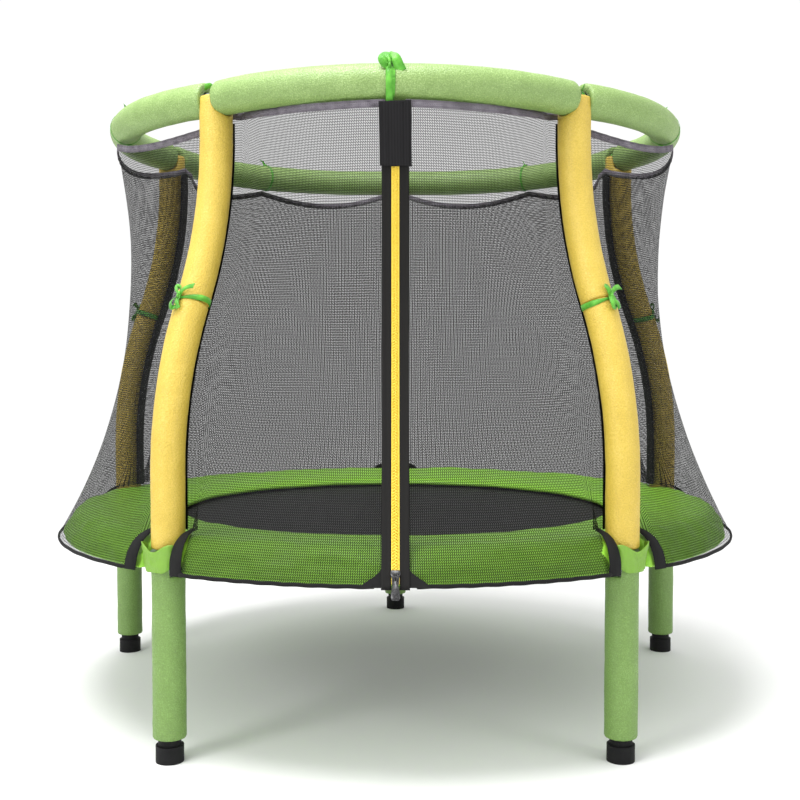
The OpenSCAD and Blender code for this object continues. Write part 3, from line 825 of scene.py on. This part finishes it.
def on_zip(x, out, z):
    """A point on the zip's arc at height z, out metres in front of it."""
    a = zip_angle(z)
    r = ZIP_ARC - out
    return Vector((x, ZIP_Y + r * cos(a), ZIP_Z + r * sin(a)))


def zip_band(name, x0, x1):
    """A closed flat band up the zip, from x0 to x1 across it."""
    cols, rows, out, thick = 6, 120, 0.0036, 0.0012
    verts, uvs = [], []
    for j in range(rows + 1):
        z = mix(ZIP_LOW, ZIP_HIGH, j / rows)
        loop = [(k / cols, 0) for k in range(cols + 1)]
        loop += [(1 - k / cols, 1) for k in range(cols + 1)]
        for t, face in loop:
            x = mix(x0, x1, t)
            lift = 0.0004 * sin(t * pi * 3) + 0.0008 * rough((x, 0, z), 0.06, 2.0)
            verts.append(on_zip(x, out + lift - face * thick, z))
            uvs.append((x, z))
    n = 2 * (cols + 1)
    faces = grid(rows + 1, n, wrap_cols=True)
    faces += [tuple(range(n))[::-1], tuple(range(rows * n, rows * n + n))]
    obj = add_mesh(name, verts, faces, M["tape"], uvs)
    finish_piece(obj, ROOT, "zip_tape", "zip_tapes")


def zip_tapes():
    zip_band("zip_tape_left", -TAPE_OUTER, -TAPE_INNER)
    zip_band("zip_tape_right", TAPE_INNER, TAPE_OUTER)


def zip_gussets():
    """Black triangles where the zip meets the net's lower edge."""
    for s, name in ((-1, "left"), (1, "right")):
        parts = Parts()
        rows, cols = 10, 14
        verts, uvs = [], []
        for j in range(rows + 1):
            z = mix(0.3315, 0.366, j / rows)
            reach = 0.021 + 0.034 * (1 - smooth(0.331, 0.366, z)) ** 1.6
            for k in range(cols + 1):
                x = s * mix(0.019, reach, k / cols)
                verts.append(on_zip(x, 0.0016 - x * x * 0.7, z))
                uvs.append((x, z))
        parts.add(verts, grid(rows + 1, cols + 1), uvs)
        parts.piece(f"zip_gusset_{name}", "webbing", ROOT, "black_webbing")


def zip_coil():
    """Two flattened coils whose loops mesh, on a yellow cord edge, from stop to stop."""
    low, high, pitch = 0.336, 1.094, 0.0046
    turns = int((zip_angle(high) - zip_angle(low)) * ZIP_ARC / pitch)
    per = 10
    for s, name in ((-1, "left"), (1, "right")):
        path = []
        for k in range(turns * per + 1):
            run = k / per
            z = mix(low, high, run / turns)
            w = TURN * (run + (0.5 if s > 0 else 0))
            x = s * (0.0022 + 0.0027 * cos(w))
            path.append(on_zip(x, 0.0042 + 0.0010 * sin(w), z))
        verts, faces = tube_shell(path, 0.00088, 6, Vector((0.3, 1, 0.2)))
        parts = Parts()
        parts.add(verts, faces)
        cord = [on_zip(s * 0.0056, 0.0038, mix(low, high, k / 90)) for k in range(91)]
        parts.add(*tube_shell(cord, 0.0009, 8, Vector((0, 1, 0))))
        bed = [on_zip(s * 0.0030, 0.0016, mix(low, high, k / 90)) for k in range(91)]
        parts.add(*tube_shell(bed, 0.0032, 8, Vector((0, 1, 0)), 0.10))
        parts.piece(f"zip_teeth_{name}", "coil", ROOT, "zip_coil", "zip_coil")


def frame_on_zip(z):
    """Columns are across, outward and up the zip at height z; and the point itself."""
    a = zip_angle(z)
    up = Vector((0, -sin(a), cos(a)))
    out = Vector((0, -cos(a), -sin(a)))
    return Vector((1, 0, 0)), out, up, on_zip(0, 0, z)


def plate(outline, depth0, depth1, axes, bevel=0.0006):
    """A plate with softened rims from an outline of (across, up), between two depths."""
    across, out, up, origin = axes
    mid = Vector((sum(p[0] for p in outline) / len(outline),
                  sum(p[1] for p in outline) / len(outline)))
    rings = [(depth0, bevel), (depth0 + bevel, 0.0), (depth1 - bevel, 0.0), (depth1, bevel)]
    verts = []
    for d, inset in rings:
        for p in outline:
            q = Vector(p)
            q = q - (q - mid).normalized() * inset
            verts.append(origin + across * q.x + up * q.y + out * d)
    n = len(outline)
    faces = grid(4, n, wrap_cols=True)
    faces += [tuple(range(n))[::-1], tuple(range(3 * n, 4 * n))]
    return verts, faces


def rounded(points, r, per=4):
    """A closed outline with its corners rounded."""
    out = []
    n = len(points)
    for i in range(n):
        p, a, b = Vector(points[i]), Vector(points[i - 1]), Vector(points[(i + 1) % n])
        u, v = (a - p).normalized() * r, (b - p).normalized() * r
        for k in range(per + 1):
            t = k / per
            out.append((p + u) * (1 - t) ** 2 + 2 * p * t * (1 - t) + (p + v) * t * t)
    return out


def zip_slider():
    axes = frame_on_zip(SLIDER_Z)
    parts = Parts()
    shield = rounded([(-0.0052, -0.0125), (0.0052, -0.0125), (0.0062, 0.0015), (0.0083, 0.0062),
                      (0.0072, 0.0125), (-0.0072, 0.0125), (-0.0083, 0.0062),
                      (-0.0062, 0.0015)], 0.0016)
    parts.add(*plate(shield, 0.0060, 0.0078, axes, 0.0007))
    parts.add(*plate(shield, -0.0006, 0.0011, axes, 0.0005))
    parts.add(*plate(rounded([(-0.0006, 0.001), (0.0006, 0.001), (0.0006, 0.0085),
                              (-0.0006, 0.0085)], 0.0003), 0.001, 0.0062, axes, 0.0002))
    across, out, up, origin = axes
    for s in (-1, 1):
        ear = [origin + across * s * 0.0037 + out * d + up * h for h, d in (
            (0.0060, 0.0075), (0.0040, 0.0108), (0.0, 0.0122), (-0.0040, 0.0108),
            (-0.0060, 0.0075))]
        parts.add(*tube_shell(smooth_path(ear, 4), 0.0011, 8, across))
    pin = [origin + out * 0.0110 + across * x for x in (-0.0042, -0.002, 0.002, 0.0042)]
    parts.add(*tube_shell(pin, 0.0010, 10, up))
    parts.piece("slider_body", "zip_metal", "zip_slider", "zip_metal", "zip_slider")


def zip_pull():
    across, out, up, origin = frame_on_zip(SLIDER_Z)
    hinge = origin + out * 0.0110
    parts = Parts()
    eye = []
    for k in range(25):
        a = TURN * k / 24
        eye.append(hinge + up * (-0.0032 + 0.0050 * cos(a)) + across * 0.0019 * sin(a))
    parts.add(*tube_shell(eye, 0.0009, 8, out, caps=False))
    tab = rounded([(-0.0030, -0.0072), (0.0030, -0.0072), (0.0046, -0.0150), (0.0068, -0.0250),
                   (0.0074, -0.0335), (0.0052, -0.0378), (-0.0052, -0.0378), (-0.0074, -0.0335),
                   (-0.0068, -0.0250), (-0.0046, -0.0150)], 0.0016)
    axes = (across, out, up, hinge)
    parts.add(*plate(tab, -0.0012, 0.0012, axes, 0.0005))
    for radius, deep in ((0.0044, 0.0013), (0.0024, 0.0012)):
        loop = [hinge - up * 0.0305 + across * radius * cos(TURN * k / 28)
                + up * radius * 0.9 * sin(TURN * k / 28) + out * deep
                for k in range(29)]
        parts.add(*tube_shell(loop, 0.0006, 6, out, caps=False))
    parts.piece("pull_tab", "zip_metal", "zip_pull", "zip_metal", "zip_pull")


def zip_flap():
    """The hook-and-loop cover: stitched black tape, a little bowed, open at its right."""
    across, out, up, origin = frame_on_zip(FLAP_Z)
    half_w, half_h, lift, thick = 0.0265, 0.0525, 0.0082, 0.0018
    cols, rows = 18, 36
    verts, uvs = [], []
    for face in (0, 1):
        for j in range(rows + 1):
            h = mix(-half_h, half_h, j / rows)
            for k in range(cols + 1):
                w = mix(-half_w, half_w, k / cols)
                bow = 0.0010 * cos(w / half_w * 1.5) + 0.0006 * sin(h * 70 + w * 60)
                slant = 0.0012 * (h / half_h) * (w / half_w)
                droop = 0.0008 * sin(w * 110) if j == 0 else 0.0
                verts.append(origin + across * (w - 0.0008 * h / half_h)
                             + up * (h + slant + droop) + out * (lift + bow - face * thick))
                uvs.append((w, h))
    n = (cols + 1) * (rows + 1)
    faces = closed_sheet(rows, cols, n)
    obj = add_mesh("flap_cover", verts, faces, M["flap"], uvs)
    finish_piece(obj, "zip_flap", "flap_fabric", "zip_flap")
    stitches = Parts()
    for w in (-0.0235, -0.0125, 0.0125, 0.0235):
        for k in range(30):
            h = mix(-half_h + 0.004, half_h - 0.004, k / 29)
            face = lift + 0.0010 * cos(w / half_w * 1.5) + 0.0006 * sin(h * 70 + w * 60)
            a = origin + across * w + up * h + out * (face + 0.0002)
            b = a + up * 0.0022
            stitches.add(*tube_shell([a, mix(a, b, 0.5) + out * 0.0002, b], 0.0003, 5, across))
    seam = stitches.piece("flap_stitches", "webbing", "zip_flap", "flap_fabric")


# ---- Ribbons ----

def folded(parts, axes, points, facing, w0, w1, thick):
    """A ribbon strip through points given as (out, side, up) from the axes' origin. It turns
    about its own run from one angle of facing to the other."""
    origin, out, side, up = axes
    path = smooth_path([origin + out * x + side * y + up * z for x, y, z in points], 6)
    last = len(path) - 1
    sides = []
    for k, t in enumerate(tangents(path)):
        base = out.cross(t)
        base = base.normalized() if base.length > 1e-4 else side
        sides.append(Matrix.Rotation(mix(facing[0], facing[1], k / last), 3, t) @ base)
    widths = [mix(w0, w1, k / last) for k in range(last + 1)]
    parts.add(*strip_shell(path, sides, widths, thick))


def ribbon_bow(parts, origin, out, side, up):
    """A small hand-tied bow: a knot, a hanging loop, a short loop and two cut tails."""
    def strip(points, facing, w0, w1):
        folded(parts, (origin, out, side, up), points, facing, w0, w1, 0.0005)

    strip([(0.002, 0, 0.001), (0.006, -0.005, -0.007), (0.009, -0.009, -0.017),
           (0.006, -0.006, -0.025), (0.003, 0.001, -0.020), (0.004, 0.002, -0.009),
           (0.002, 0, 0)], (0.9, -0.7), 0.0085, 0.0085)
    strip([(0.002, 0, 0), (0.007, -0.006, 0.007), (0.006, -0.010, 0.015),
           (0.003, -0.003, 0.014), (0.002, 0, 0.004)], (-0.8, 0.8), 0.0075, 0.0075)
    strip([(0.002, 0.001, 0.002), (0.005, 0.008, 0.009), (0.0045, 0.018, 0.014),
           (0.003, 0.029, 0.016)], (0.1, -0.3), 0.006, 0.0115)
    strip([(0.002, 0.001, 0), (0.006, -0.002, -0.009), (0.007, 0.005, -0.018),
           (0.004, 0.009, -0.026)], (0.5, 0.0), 0.006, 0.009)
    knot = []
    for k in range(13):
        a = TURN * k / 12
        knot.append(origin + out * (0.0035 + 0.0016 * cos(a))
                    + side * 0.0010 * sin(2 * a) + up * 0.0042 * sin(a))
    parts.add(*tube_shell(knot, 0.0030, 8, side, 0.8))


def pole_ribbons():
    for i in range(SIDES):
        parts = Parts()
        a = pole_angle(i)
        z = BEND_MID_Z
        centre = polar(pole_r(z), a, z)
        radial, side = heading(a)
        up = UP * cos(LEAN) - radial * sin(LEAN)
        out = radial * cos(LEAN) + UP * sin(LEAN)
        path, widths = [], []
        for k in range(73):
            t = TURN * k / 72
            r = POLE_SLEEVE_R + 0.0009
            tilt = 0.006 * sin(t) - 0.004 * cos(t)
            path.append(centre + out * r * cos(t) + side * r * sin(t) + up * tilt)
            widths.append(mix(0.0045, 0.0105, smooth(0.05, 0.6, abs(sin(t / 2)))))
        parts.add(*strip_shell(path, [up] * 73, widths, 0.0006))
        ribbon_bow(parts, centre + out * (POLE_SLEEVE_R + 0.0012), out, side, up)
        parts.piece(f"pole_bow_{i + 1}", "ribbon", ROOT, "ribbon_satin", "pole_ribbons")


def ring_ribbons():
    """A tie at the middle of each ring section; its ends hold up the net's hem."""
    for i in range(SIDES):
        parts = Parts()
        a = side_angle(i)
        out, side = heading(a)
        up = UP
        centre = out * RING_MID_R + up * RING_Z
        path = []
        for k in range(65):
            t = TURN * k / 64
            r = RING_SLEEVE_R + 0.0008
            skew = 0.004 * cos(t) - (0.010 if i == FRONT else 0)
            path.append(centre + out * r * cos(t) + up * r * sin(t) + side * skew)
        front = i == FRONT
        width = 0.0125 if front else 0.005
        parts.add(*strip_shell(path, [side] * 65, [width] * 65, 0.0006))
        if front:
            shift = side * -0.010
            face = RING_SLEEVE_R + 0.002
            drop = [centre + shift + out * face * cos(t) + up * face * sin(t)
                    for t in (1.15, 0.8, 0.45, 0.1, -0.25, -0.55)]
            drop += [centre + shift + out * 0.0210 + up * -0.031,
                     centre + shift + out * 0.0155 + up * -0.0385]
            parts.add(*strip_shell(smooth_path(drop, 5), [side] * 36, [0.0112] * 36, 0.0007))
            top = centre + out * 0.017 + up * 0.0235 + shift
            ribbon_knot(parts, top, out, side, up)
        else:
            hang = [centre + out * (RING_SLEEVE_R + 0.002) * cos(t)
                    + up * (RING_SLEEVE_R + 0.002) * sin(t) for t in (-1.9, -1.6)]
            hang.append(centre - out * 0.012 + up * -0.0335)
            parts.add(*strip_shell(smooth_path(hang, 5), [side] * 11, [0.006] * 11, 0.0007))
            tail = [centre + up * (RING_SLEEVE_R + 0.001) + side * 0.001,
                    centre + up * (RING_SLEEVE_R + 0.010) + side * 0.006 + out * 0.002,
                    centre + up * (RING_SLEEVE_R + 0.014) + side * 0.010 + out * 0.003]
            steps = smooth_path(tail, 5)
            parts.add(*strip_shell(steps, [side * 0.6 + up * 0.3 + out * 0.5] * 11,
                                   [mix(0.004, 0.012, k / 10) for k in range(11)], 0.0006))
            parts.add(*tube_shell([centre + up * (RING_SLEEVE_R + 0.0015) + side * x
                                   for x in (-0.004, -0.001, 0.002, 0.005)], 0.0030, 8, out))
        parts.piece(f"ring_tie_{i + 1}", "ribbon", ROOT, "ribbon_satin", "ring_ribbons")


def ribbon_knot(parts, at, out, side, up):
    """The big knot on the front of the ring: folded lobes and one pointed tail."""
    def shell(points, facing, w0, w1):
        folded(parts, (at, out, side, up), points, facing, w0, w1, 0.0007)

    shell([(0.004, 0.004, -0.006), (0.010, -0.006, 0.000), (0.010, -0.011, 0.008),
           (0.004, -0.006, 0.014), (0.006, 0.002, 0.010), (0.006, 0.002, 0.0)], (0.3, -0.6),
          0.014, 0.016)
    shell([(0.004, 0.000, 0.004), (0.008, 0.006, 0.012), (0.011, 0.011, 0.009),
           (0.011, 0.015, -0.001), (0.010, 0.020, -0.012)], (-0.4, 0.2), 0.013, 0.018)
    shell([(0.004, 0.001, 0.010), (0.000, 0.004, 0.0165), (-0.006, 0.001, 0.0155),
           (-0.010, -0.004, 0.010)], (0.0, 0.5), 0.012, 0.014)
    loop = [at + out * (0.008 + 0.003 * cos(t)) + up * (0.001 + 0.0075 * sin(t))
            + side * 0.001 * cos(2 * t)
            for t in [TURN * k / 16 for k in range(17)]]
    parts.add(*tube_shell(loop, 0.0034, 9, side, 0.7))


def top_ties():
    """Ribbon loops at the pole tops, from the steel joint to the net's corner."""
    parts = Parts()
    for i in range(SIDES):
        a = pole_angle(i)
        out, side = heading(a)
        top = out * POLE_TOP_R + Vector((0, 0, RING_Z))
        r = 0.0152
        loop = [top + out * r * cos(t) + Vector((0, 0, r * sin(t) + 0.001))
                + side * (0.008 + 0.0015 * sin(3 * t))
                for t in [TURN * k / 32 for k in range(33)]]
        parts.add(*strip_shell(loop, [side] * 33, [0.0065] * 33, 0.0008))
        hang = [top - out * 0.0155 + side * 0.007, top - out * 0.022 + Vector((0, 0, -0.016)),
                top - out * 0.031 + Vector((0, 0, -0.036))]
        parts.add(*strip_shell(smooth_path(hang, 6), [side] * 13, [0.006] * 13, 0.0008))
        tail = [top + out * 0.010 + side * 0.009 + Vector((0, 0, 0.014)),
                top + out * 0.018 + side * 0.004 + Vector((0, 0, 0.020)),
                top + out * 0.024 - side * 0.004 + Vector((0, 0, 0.017))]
        parts.add(*strip_shell(smooth_path(tail, 6), [side * 0.4 + out * 0.3 + UP] * 13,
                               [mix(0.007, 0.012, k / 12) for k in range(13)], 0.0008))
    parts.piece("pole_top_ties", "ribbon", ROOT, "ribbon_satin")


# ---- Pad ----

def pad_profile():
    """The pad's closed section as (r, z): top, roll over the frame tube, skirt and underside."""
    pts = [(0.4520, 0.3655), (0.4545, 0.3712), (0.470, 0.3775), (0.500, 0.3810), (0.540, 0.3832),
           (0.580, 0.3850), (0.612, 0.3872), (0.638, 0.3880), (0.657, 0.3840), (0.6695, 0.3745),
           (0.6775, 0.3620), (0.6835, 0.3490), (0.6865, 0.3340), (0.6825, 0.3333),
           (0.6795, 0.3400), (0.6760, 0.3520), (0.6690, 0.3630), (0.660, 0.3700), (0.644, 0.3718),
           (0.626, 0.3660), (0.600, 0.3628), (0.540, 0.3624), (0.480, 0.3622)]
    return [Vector((r, z)) for r, z in pts]


def dense_loop(points, per):
    """The closed curve through the points."""
    n = len(points)
    out = []
    for i in range(n):
        near = [points[(i + k - 1) % n] for k in range(4)]
        out += [spline(*near, k / per) for k in range(per)]
    return out


def pad_angles():
    """Angles round the pad, closer together beside the poles."""
    out = []
    per = 120
    for i in range(SIDES):
        for k in range(per):
            w = k / per
            eased = w - sin(TURN * w) / TURN * 0.8
            out.append(pole_angle(i) + STEP * eased)
    return out


def notch_limit(y):
    """How far out the pad may reach beside a pole, y metres along the ring from it."""
    near = 0.033
    inside = BASE_R - sqrt(max(0.0, near ** 2 - min(abs(y), near) ** 2))
    return mix(inside, 0.700, smooth(0.0325, 0.043, abs(y)))


def spring_pad():
    section = dense_loop(pad_profile(), 3)
    angles = pad_angles()
    top_z = 0.372
    verts, uvs = [], []
    run = [0.0]
    for k in range(1, len(section)):
        run.append(run[-1] + (section[k] - section[k - 1]).length)
    for a in angles:
        near = min(((a - pole_angle(i) + pi) % TURN - pi
                    for i in range(SIDES)), key=abs)
        for k, q in enumerate(section):
            r, z = q.x, q.y
            y = near * r
            limit = notch_limit(y)
            p = polar(r, a, z)
            broad = noise.noise(Vector((a * 7.5, r * 26, z * 40)))
            fold = 1 - abs(noise.noise(Vector((a * 11 + 4.0, r * 20 + z * 55, 2.7)))) * 2.2
            fine = noise.noise(Vector((a * 34, r * 60 + z * 90, 9.1)))
            outer = smooth(0.60, 0.66, r) * (1 if z > 0.335 else 0.3)
            puff = 0.0016 * broad + 0.0006 * fine
            puff += outer * (0.0032 * broad + 0.0030 * fold - 0.0018)
            if z < top_z and r < 0.655:
                puff *= -0.2
            if z >= top_z or r > 0.655:
                normal = Vector((smooth(0.60, 0.69, r), 1 - smooth(0.62, 0.69, r))).normalized()
                r, z = r + normal.x * puff, z + normal.y * puff
            if r > limit:
                tuck = smooth(0.0, 0.04, r - limit)
                r = limit
                z -= 0.006 * tuck * (1 if z > 0.37 else 0)
            verts.append(polar(r, a, z))
            uvs.append((run[k], a * 0.65))
    faces = grid(len(angles), len(section), wrap_cols=True, wrap_rows=True)
    obj = add_mesh("pad_cover", verts, faces, M["pad"], uvs)
    finish_piece(obj, ROOT, "pad_fabric", "spring_pad")


def pad_edging():
    """Bound inner edge of the pad."""
    parts = Parts()
    path = [polar(0.4530, TURN * k / 240, 0.3672 + 0.0005 * sin(k * 0.37))
            for k in range(241)]
    v, f = tube_shell(path, 0.0027, 8, UP, 1.7, caps=False)
    parts.add(v, f, [(0.002 * (q % 8), 0.012 * (q // 8)) for q in range(len(v))])
    parts.piece("pad_inner_binding", "pad", ROOT, "pad_fabric")


def closed_sheet(rows, cols, n):
    """Faces of two facing grids of n points each, joined all round their rims."""
    faces = grid(rows + 1, cols + 1) + [f[::-1] for f in grid(rows + 1, cols + 1, base=n)]
    rim = list(range(cols)) + [cols + j * (cols + 1) for j in range(rows)]
    rim += [rows * (cols + 1) + cols - k for k in range(cols)]
    rim += [(rows - j) * (cols + 1) for j in range(rows)]
    return faces + [(rim[q], rim[q - 1], rim[q - 1] + n, rim[q] + n) for q in range(len(rim))]


def pocket_point(i, s, v, face):
    """A point on a pocket: s runs round the pole from -1 to 1, v up from 0 to 1."""
    phi = s * radians(84)
    bulge = exp(-((abs(s) - 0.60) / 0.36) ** 2)
    r = 0.0322 + 0.0015 * v + 0.0095 * bulge * (0.55 + 0.45 * v) - 0.001 * face
    low = mix(0.3285, 0.3400, smooth(0.3, 0.8, abs(s)))
    high = mix(0.3625, 0.3780, bulge)
    z = mix(low, high, v)
    crease = 0.0022 * noise.noise(Vector((s * 4 + i * 9, v * 1.8, 1.0)))
    crease += 0.0011 * noise.noise(Vector((s * 13 + i * 9, v * 4, 4.0)))
    r += crease + 0.0012
    return pole_local(i, r * cos(phi), r * sin(phi), z)


def pockets():
    """Lime slings that hold the pad round the foot of each pole."""
    rows, cols = 14, 64
    for i in range(SIDES):
        verts, uvs = [], []
        for face in (0, 1):
            for j in range(rows + 1):
                for k in range(cols + 1):
                    s = mix(-1, 1, k / cols)
                    verts.append(pocket_point(i, s, j / rows, face))
                    uvs.append((s * 0.054, j / rows * 0.038))
        n = (rows + 1) * (cols + 1)
        obj = add_mesh(f"pole_pocket_{i + 1}", verts, closed_sheet(rows, cols, n), M["pocket"], uvs)
        finish_piece(obj, ROOT, "pocket_fabric", "pole_pockets")


def straps():
    """Webbing loops that tie the pad to the base ring."""
    parts = Parts()
    turn = radians(14)
    for i in range(SIDES):
        for a in (pole_angle(i) + turn, pole_angle(i) + STEP - turn):
            out, side = heading(a)
            centre = out * BASE_R + Vector((0, 0, BASE_Z))
            path = []
            for k in range(41):
                t = TURN * k / 40
                r = 0.0158 + 0.0003 * sin(3 * t)
                path.append(centre + out * r * cos(t) + Vector((0, 0, r * sin(t))))
            parts.add(*strip_shell(path, [side] * 41, [0.016] * 41, 0.0012))
    parts.piece("pad_ties", "webbing", ROOT, "black_webbing", "pad_straps")


# ---- Mat and springs ----

def jump_mat():
    """The woven mat, very slightly slack, with a bound edge."""
    rings, around = 44, 180
    verts, faces = [], []
    for face in (0, 1):
        for j in range(1, rings + 1):
            r = MAT_R * j / rings
            for k in range(around):
                a = TURN * k / around
                p = polar(r, a, 0)
                dip = 0.0005 * rough(p, 0.25, 5.0) * (1 - j / rings)
                z = (MAT_TOP - 0.0003 if face == 0 else MAT_LOW + 0.0003) + dip
                verts.append(polar(r, a, z))
        verts.append(Vector((0, 0, MAT_TOP - 0.0003 if face == 0 else MAT_LOW + 0.0003)))
    n = rings * around + 1
    for face in (0, 1):
        ring = grid(rings, around, wrap_cols=True, base=face * n)
        hub = [(face * n + n - 1, face * n + k, face * n + (k + 1) % around) for k in range(around)]
        whole = ring + hub
        faces += [f[::-1] for f in whole] if face else whole
    last = (rings - 1) * around
    faces += [(last + k, last + (k + 1) % around, n + last + (k + 1) % around, n + last + k)
              for k in range(around)]
    obj = add_mesh("jump_mat", verts, faces, M["mat"])
    finish_piece(obj, MAT, "mat_fabric", "mat")
    band = mat_edge()


def mat_edge():
    """Webbing sewn round the mat's edge, and a tab round each triangular ring."""
    parts = Parts()
    verts, uvs = [], []
    for k in range(181):
        a = TURN * k / 180
        for r, dz in ((0.494, 0.0003), (0.494, -0.0006), (0.511, -0.0010), (0.527, -0.0006),
                      (0.527, 0.0003)):
            verts.append(polar(r, a, MAT_LOW - 0.0004 + dz))
            uvs.append((r, a * 0.51))
    parts.add(verts, grid(181, 5), uvs)
    for i in range(SIDES):
        for k in range(SPRINGS):
            a = pole_angle(i) + STEP * (k + 0.5) / SPRINGS
            side = heading(a)[1]
            path = smooth_path([polar(0.470, a, MAT_LOW - 0.0016),
                                polar(0.500, a, MAT_LOW - 0.0022),
                                polar(0.5135, a, MAT_LOW - 0.0030),
                                polar(0.5165, a, MAT_LOW - 0.0045),
                                polar(0.5135, a, MAT_LOW - 0.0062),
                                polar(0.506, a, MAT_LOW - 0.0060),
                                polar(0.470, a, MAT_LOW - 0.0030)], 4)
            parts.add(*strip_shell(path, [side] * len(path), [0.021] * len(path), 0.0011))
    return parts.piece("mat_edge_band", "webbing", MAT, "mat_fabric")


def coil_springs():
    wire, coil_r = 0.0010, 0.0040
    inner, outer = 0.540, BASE_R - 0.015
    first, last = inner + 0.0055, outer - 0.006
    turns, per = 30, 10
    for i in range(SIDES):
        for k in range(SPRINGS):
            a = pole_angle(i) + STEP * (k + 0.5) / SPRINGS
            out, side = heading(a)
            up = UP
            pts = [out * (inner + 0.0005) + up * (SPRING_Z + 0.0050),
                   out * (inner - 0.0040) + up * (SPRING_Z + 0.0030),
                   out * (inner - 0.0048) + up * (SPRING_Z - 0.0010),
                   out * (inner - 0.0010) + up * (SPRING_Z - 0.0046),
                   out * (first - 0.001) + up * (SPRING_Z - 0.0042)]
            path = smooth_path(pts, 4)
            for q in range(turns * per + 1):
                w = TURN * q / per - pi / 2
                path.append(out * mix(first, last, q / (turns * per))
                            + side * coil_r * cos(w) + up * (SPRING_Z + coil_r * sin(w)))
            path += smooth_path([out * (last + 0.002) + up * (SPRING_Z - 0.0025),
                                 out * (last + 0.006) + up * SPRING_Z,
                                 out * (last + 0.013) + up * SPRING_Z,
                                 out * (last + 0.016) + up * (SPRING_Z - 0.0005)], 4)
            verts, faces = tube_shell(path, wire, 6, Vector((0.31, 0.17, 0.93)))
            obj = add_mesh(f"coil_spring_{i * SPRINGS + k + 1}", verts, faces, M["spring"])
            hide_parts("springs")
            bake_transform(obj)


# ---- Stage ----

def stage():
    scene = bpy.context.scene
    around, radii = 64, (0.6, 1.2, 1.8, 2.4, 3.0, 3.6)
    verts = [polar(r, TURN * k / around, 0) for r in radii for k in range(around)]
    rings = grid(len(radii), around, wrap_cols=True)
    faces = [f[::-1] for f in rings] + [tuple(range(around))]
    s = Shader("studio_white", (0.9, 0.9, 0.9, 1), 0.9, specular=0.0)
    far = s.node("ShaderNodeVectorMath", operation="LENGTH")
    s.put(far.inputs[0], s.point)
    s.put(s.bsdf.inputs["Alpha"], s.span(far.outputs["Value"], 1.5, 3.2, 1.0, 0.0))
    floor = add_mesh("studio_floor", verts, faces, s.mat, flat=True)
    world = bpy.data.worlds.new("studio")
    scene.world = world
    world.use_nodes = True
    back = world.node_tree.nodes["Background"]
    back.inputs["Color"].default_value = (1, 1, 1, 1)
    back.inputs["Strength"].default_value = 1.02

    def area(name, place, aim, size, power, tint=(1, 1, 1)):
        light = bpy.data.lights.new(name, "AREA")
        light.shape, light.size, light.energy, light.color = "DISK", size, power, tint
        obj = bpy.data.objects.new(name, light)
        obj.location = place
        obj.rotation_euler = (Vector(aim) - Vector(place)).to_track_quat("-Z", "Y").to_euler()
        scene.collection.objects.link(obj)

    area("key_top", (-0.6, -0.9, 3.4), (0, 0, 0.4), 1.9, 120)
    area("front_left", (-2.6, -3.0, 1.9), (0, 0, 0.6), 1.4, 50)
    area("front_right", (2.8, -2.6, 1.5), (0, 0, 0.6), 1.4, 20)
    scene.view_settings.view_transform = "Standard"
    scene.view_settings.look = "None"


def camera():
    data = bpy.data.cameras.new("view")
    data.lens, data.sensor_width = 51.26, 36.0
    obj = bpy.data.objects.new("view", data)
    distance, height, pitch, turn = 2.455, 0.692, radians(2.22), radians(-0.23)
    obj.location = (0, -distance, height)
    obj.rotation_euler = (pi / 2 - pitch, 0, turn)
    bpy.context.scene.collection.objects.link(obj)
    bpy.context.scene.camera = obj


# ---- Build ----

camera()
stage()
dress_nodes()
leg_sleeves()
pole_sleeves()
ring_sleeves()
nets()
webbing()
gussets()
lower_binding()
zip_tapes()
zip_gussets()
zip_coil()
zip_slider()
zip_pull()
zip_flap()
pole_ribbons()
ring_ribbons()
top_ties()
spring_pad()
pad_edging()
pockets()
straps()
jump_mat()
coil_springs()
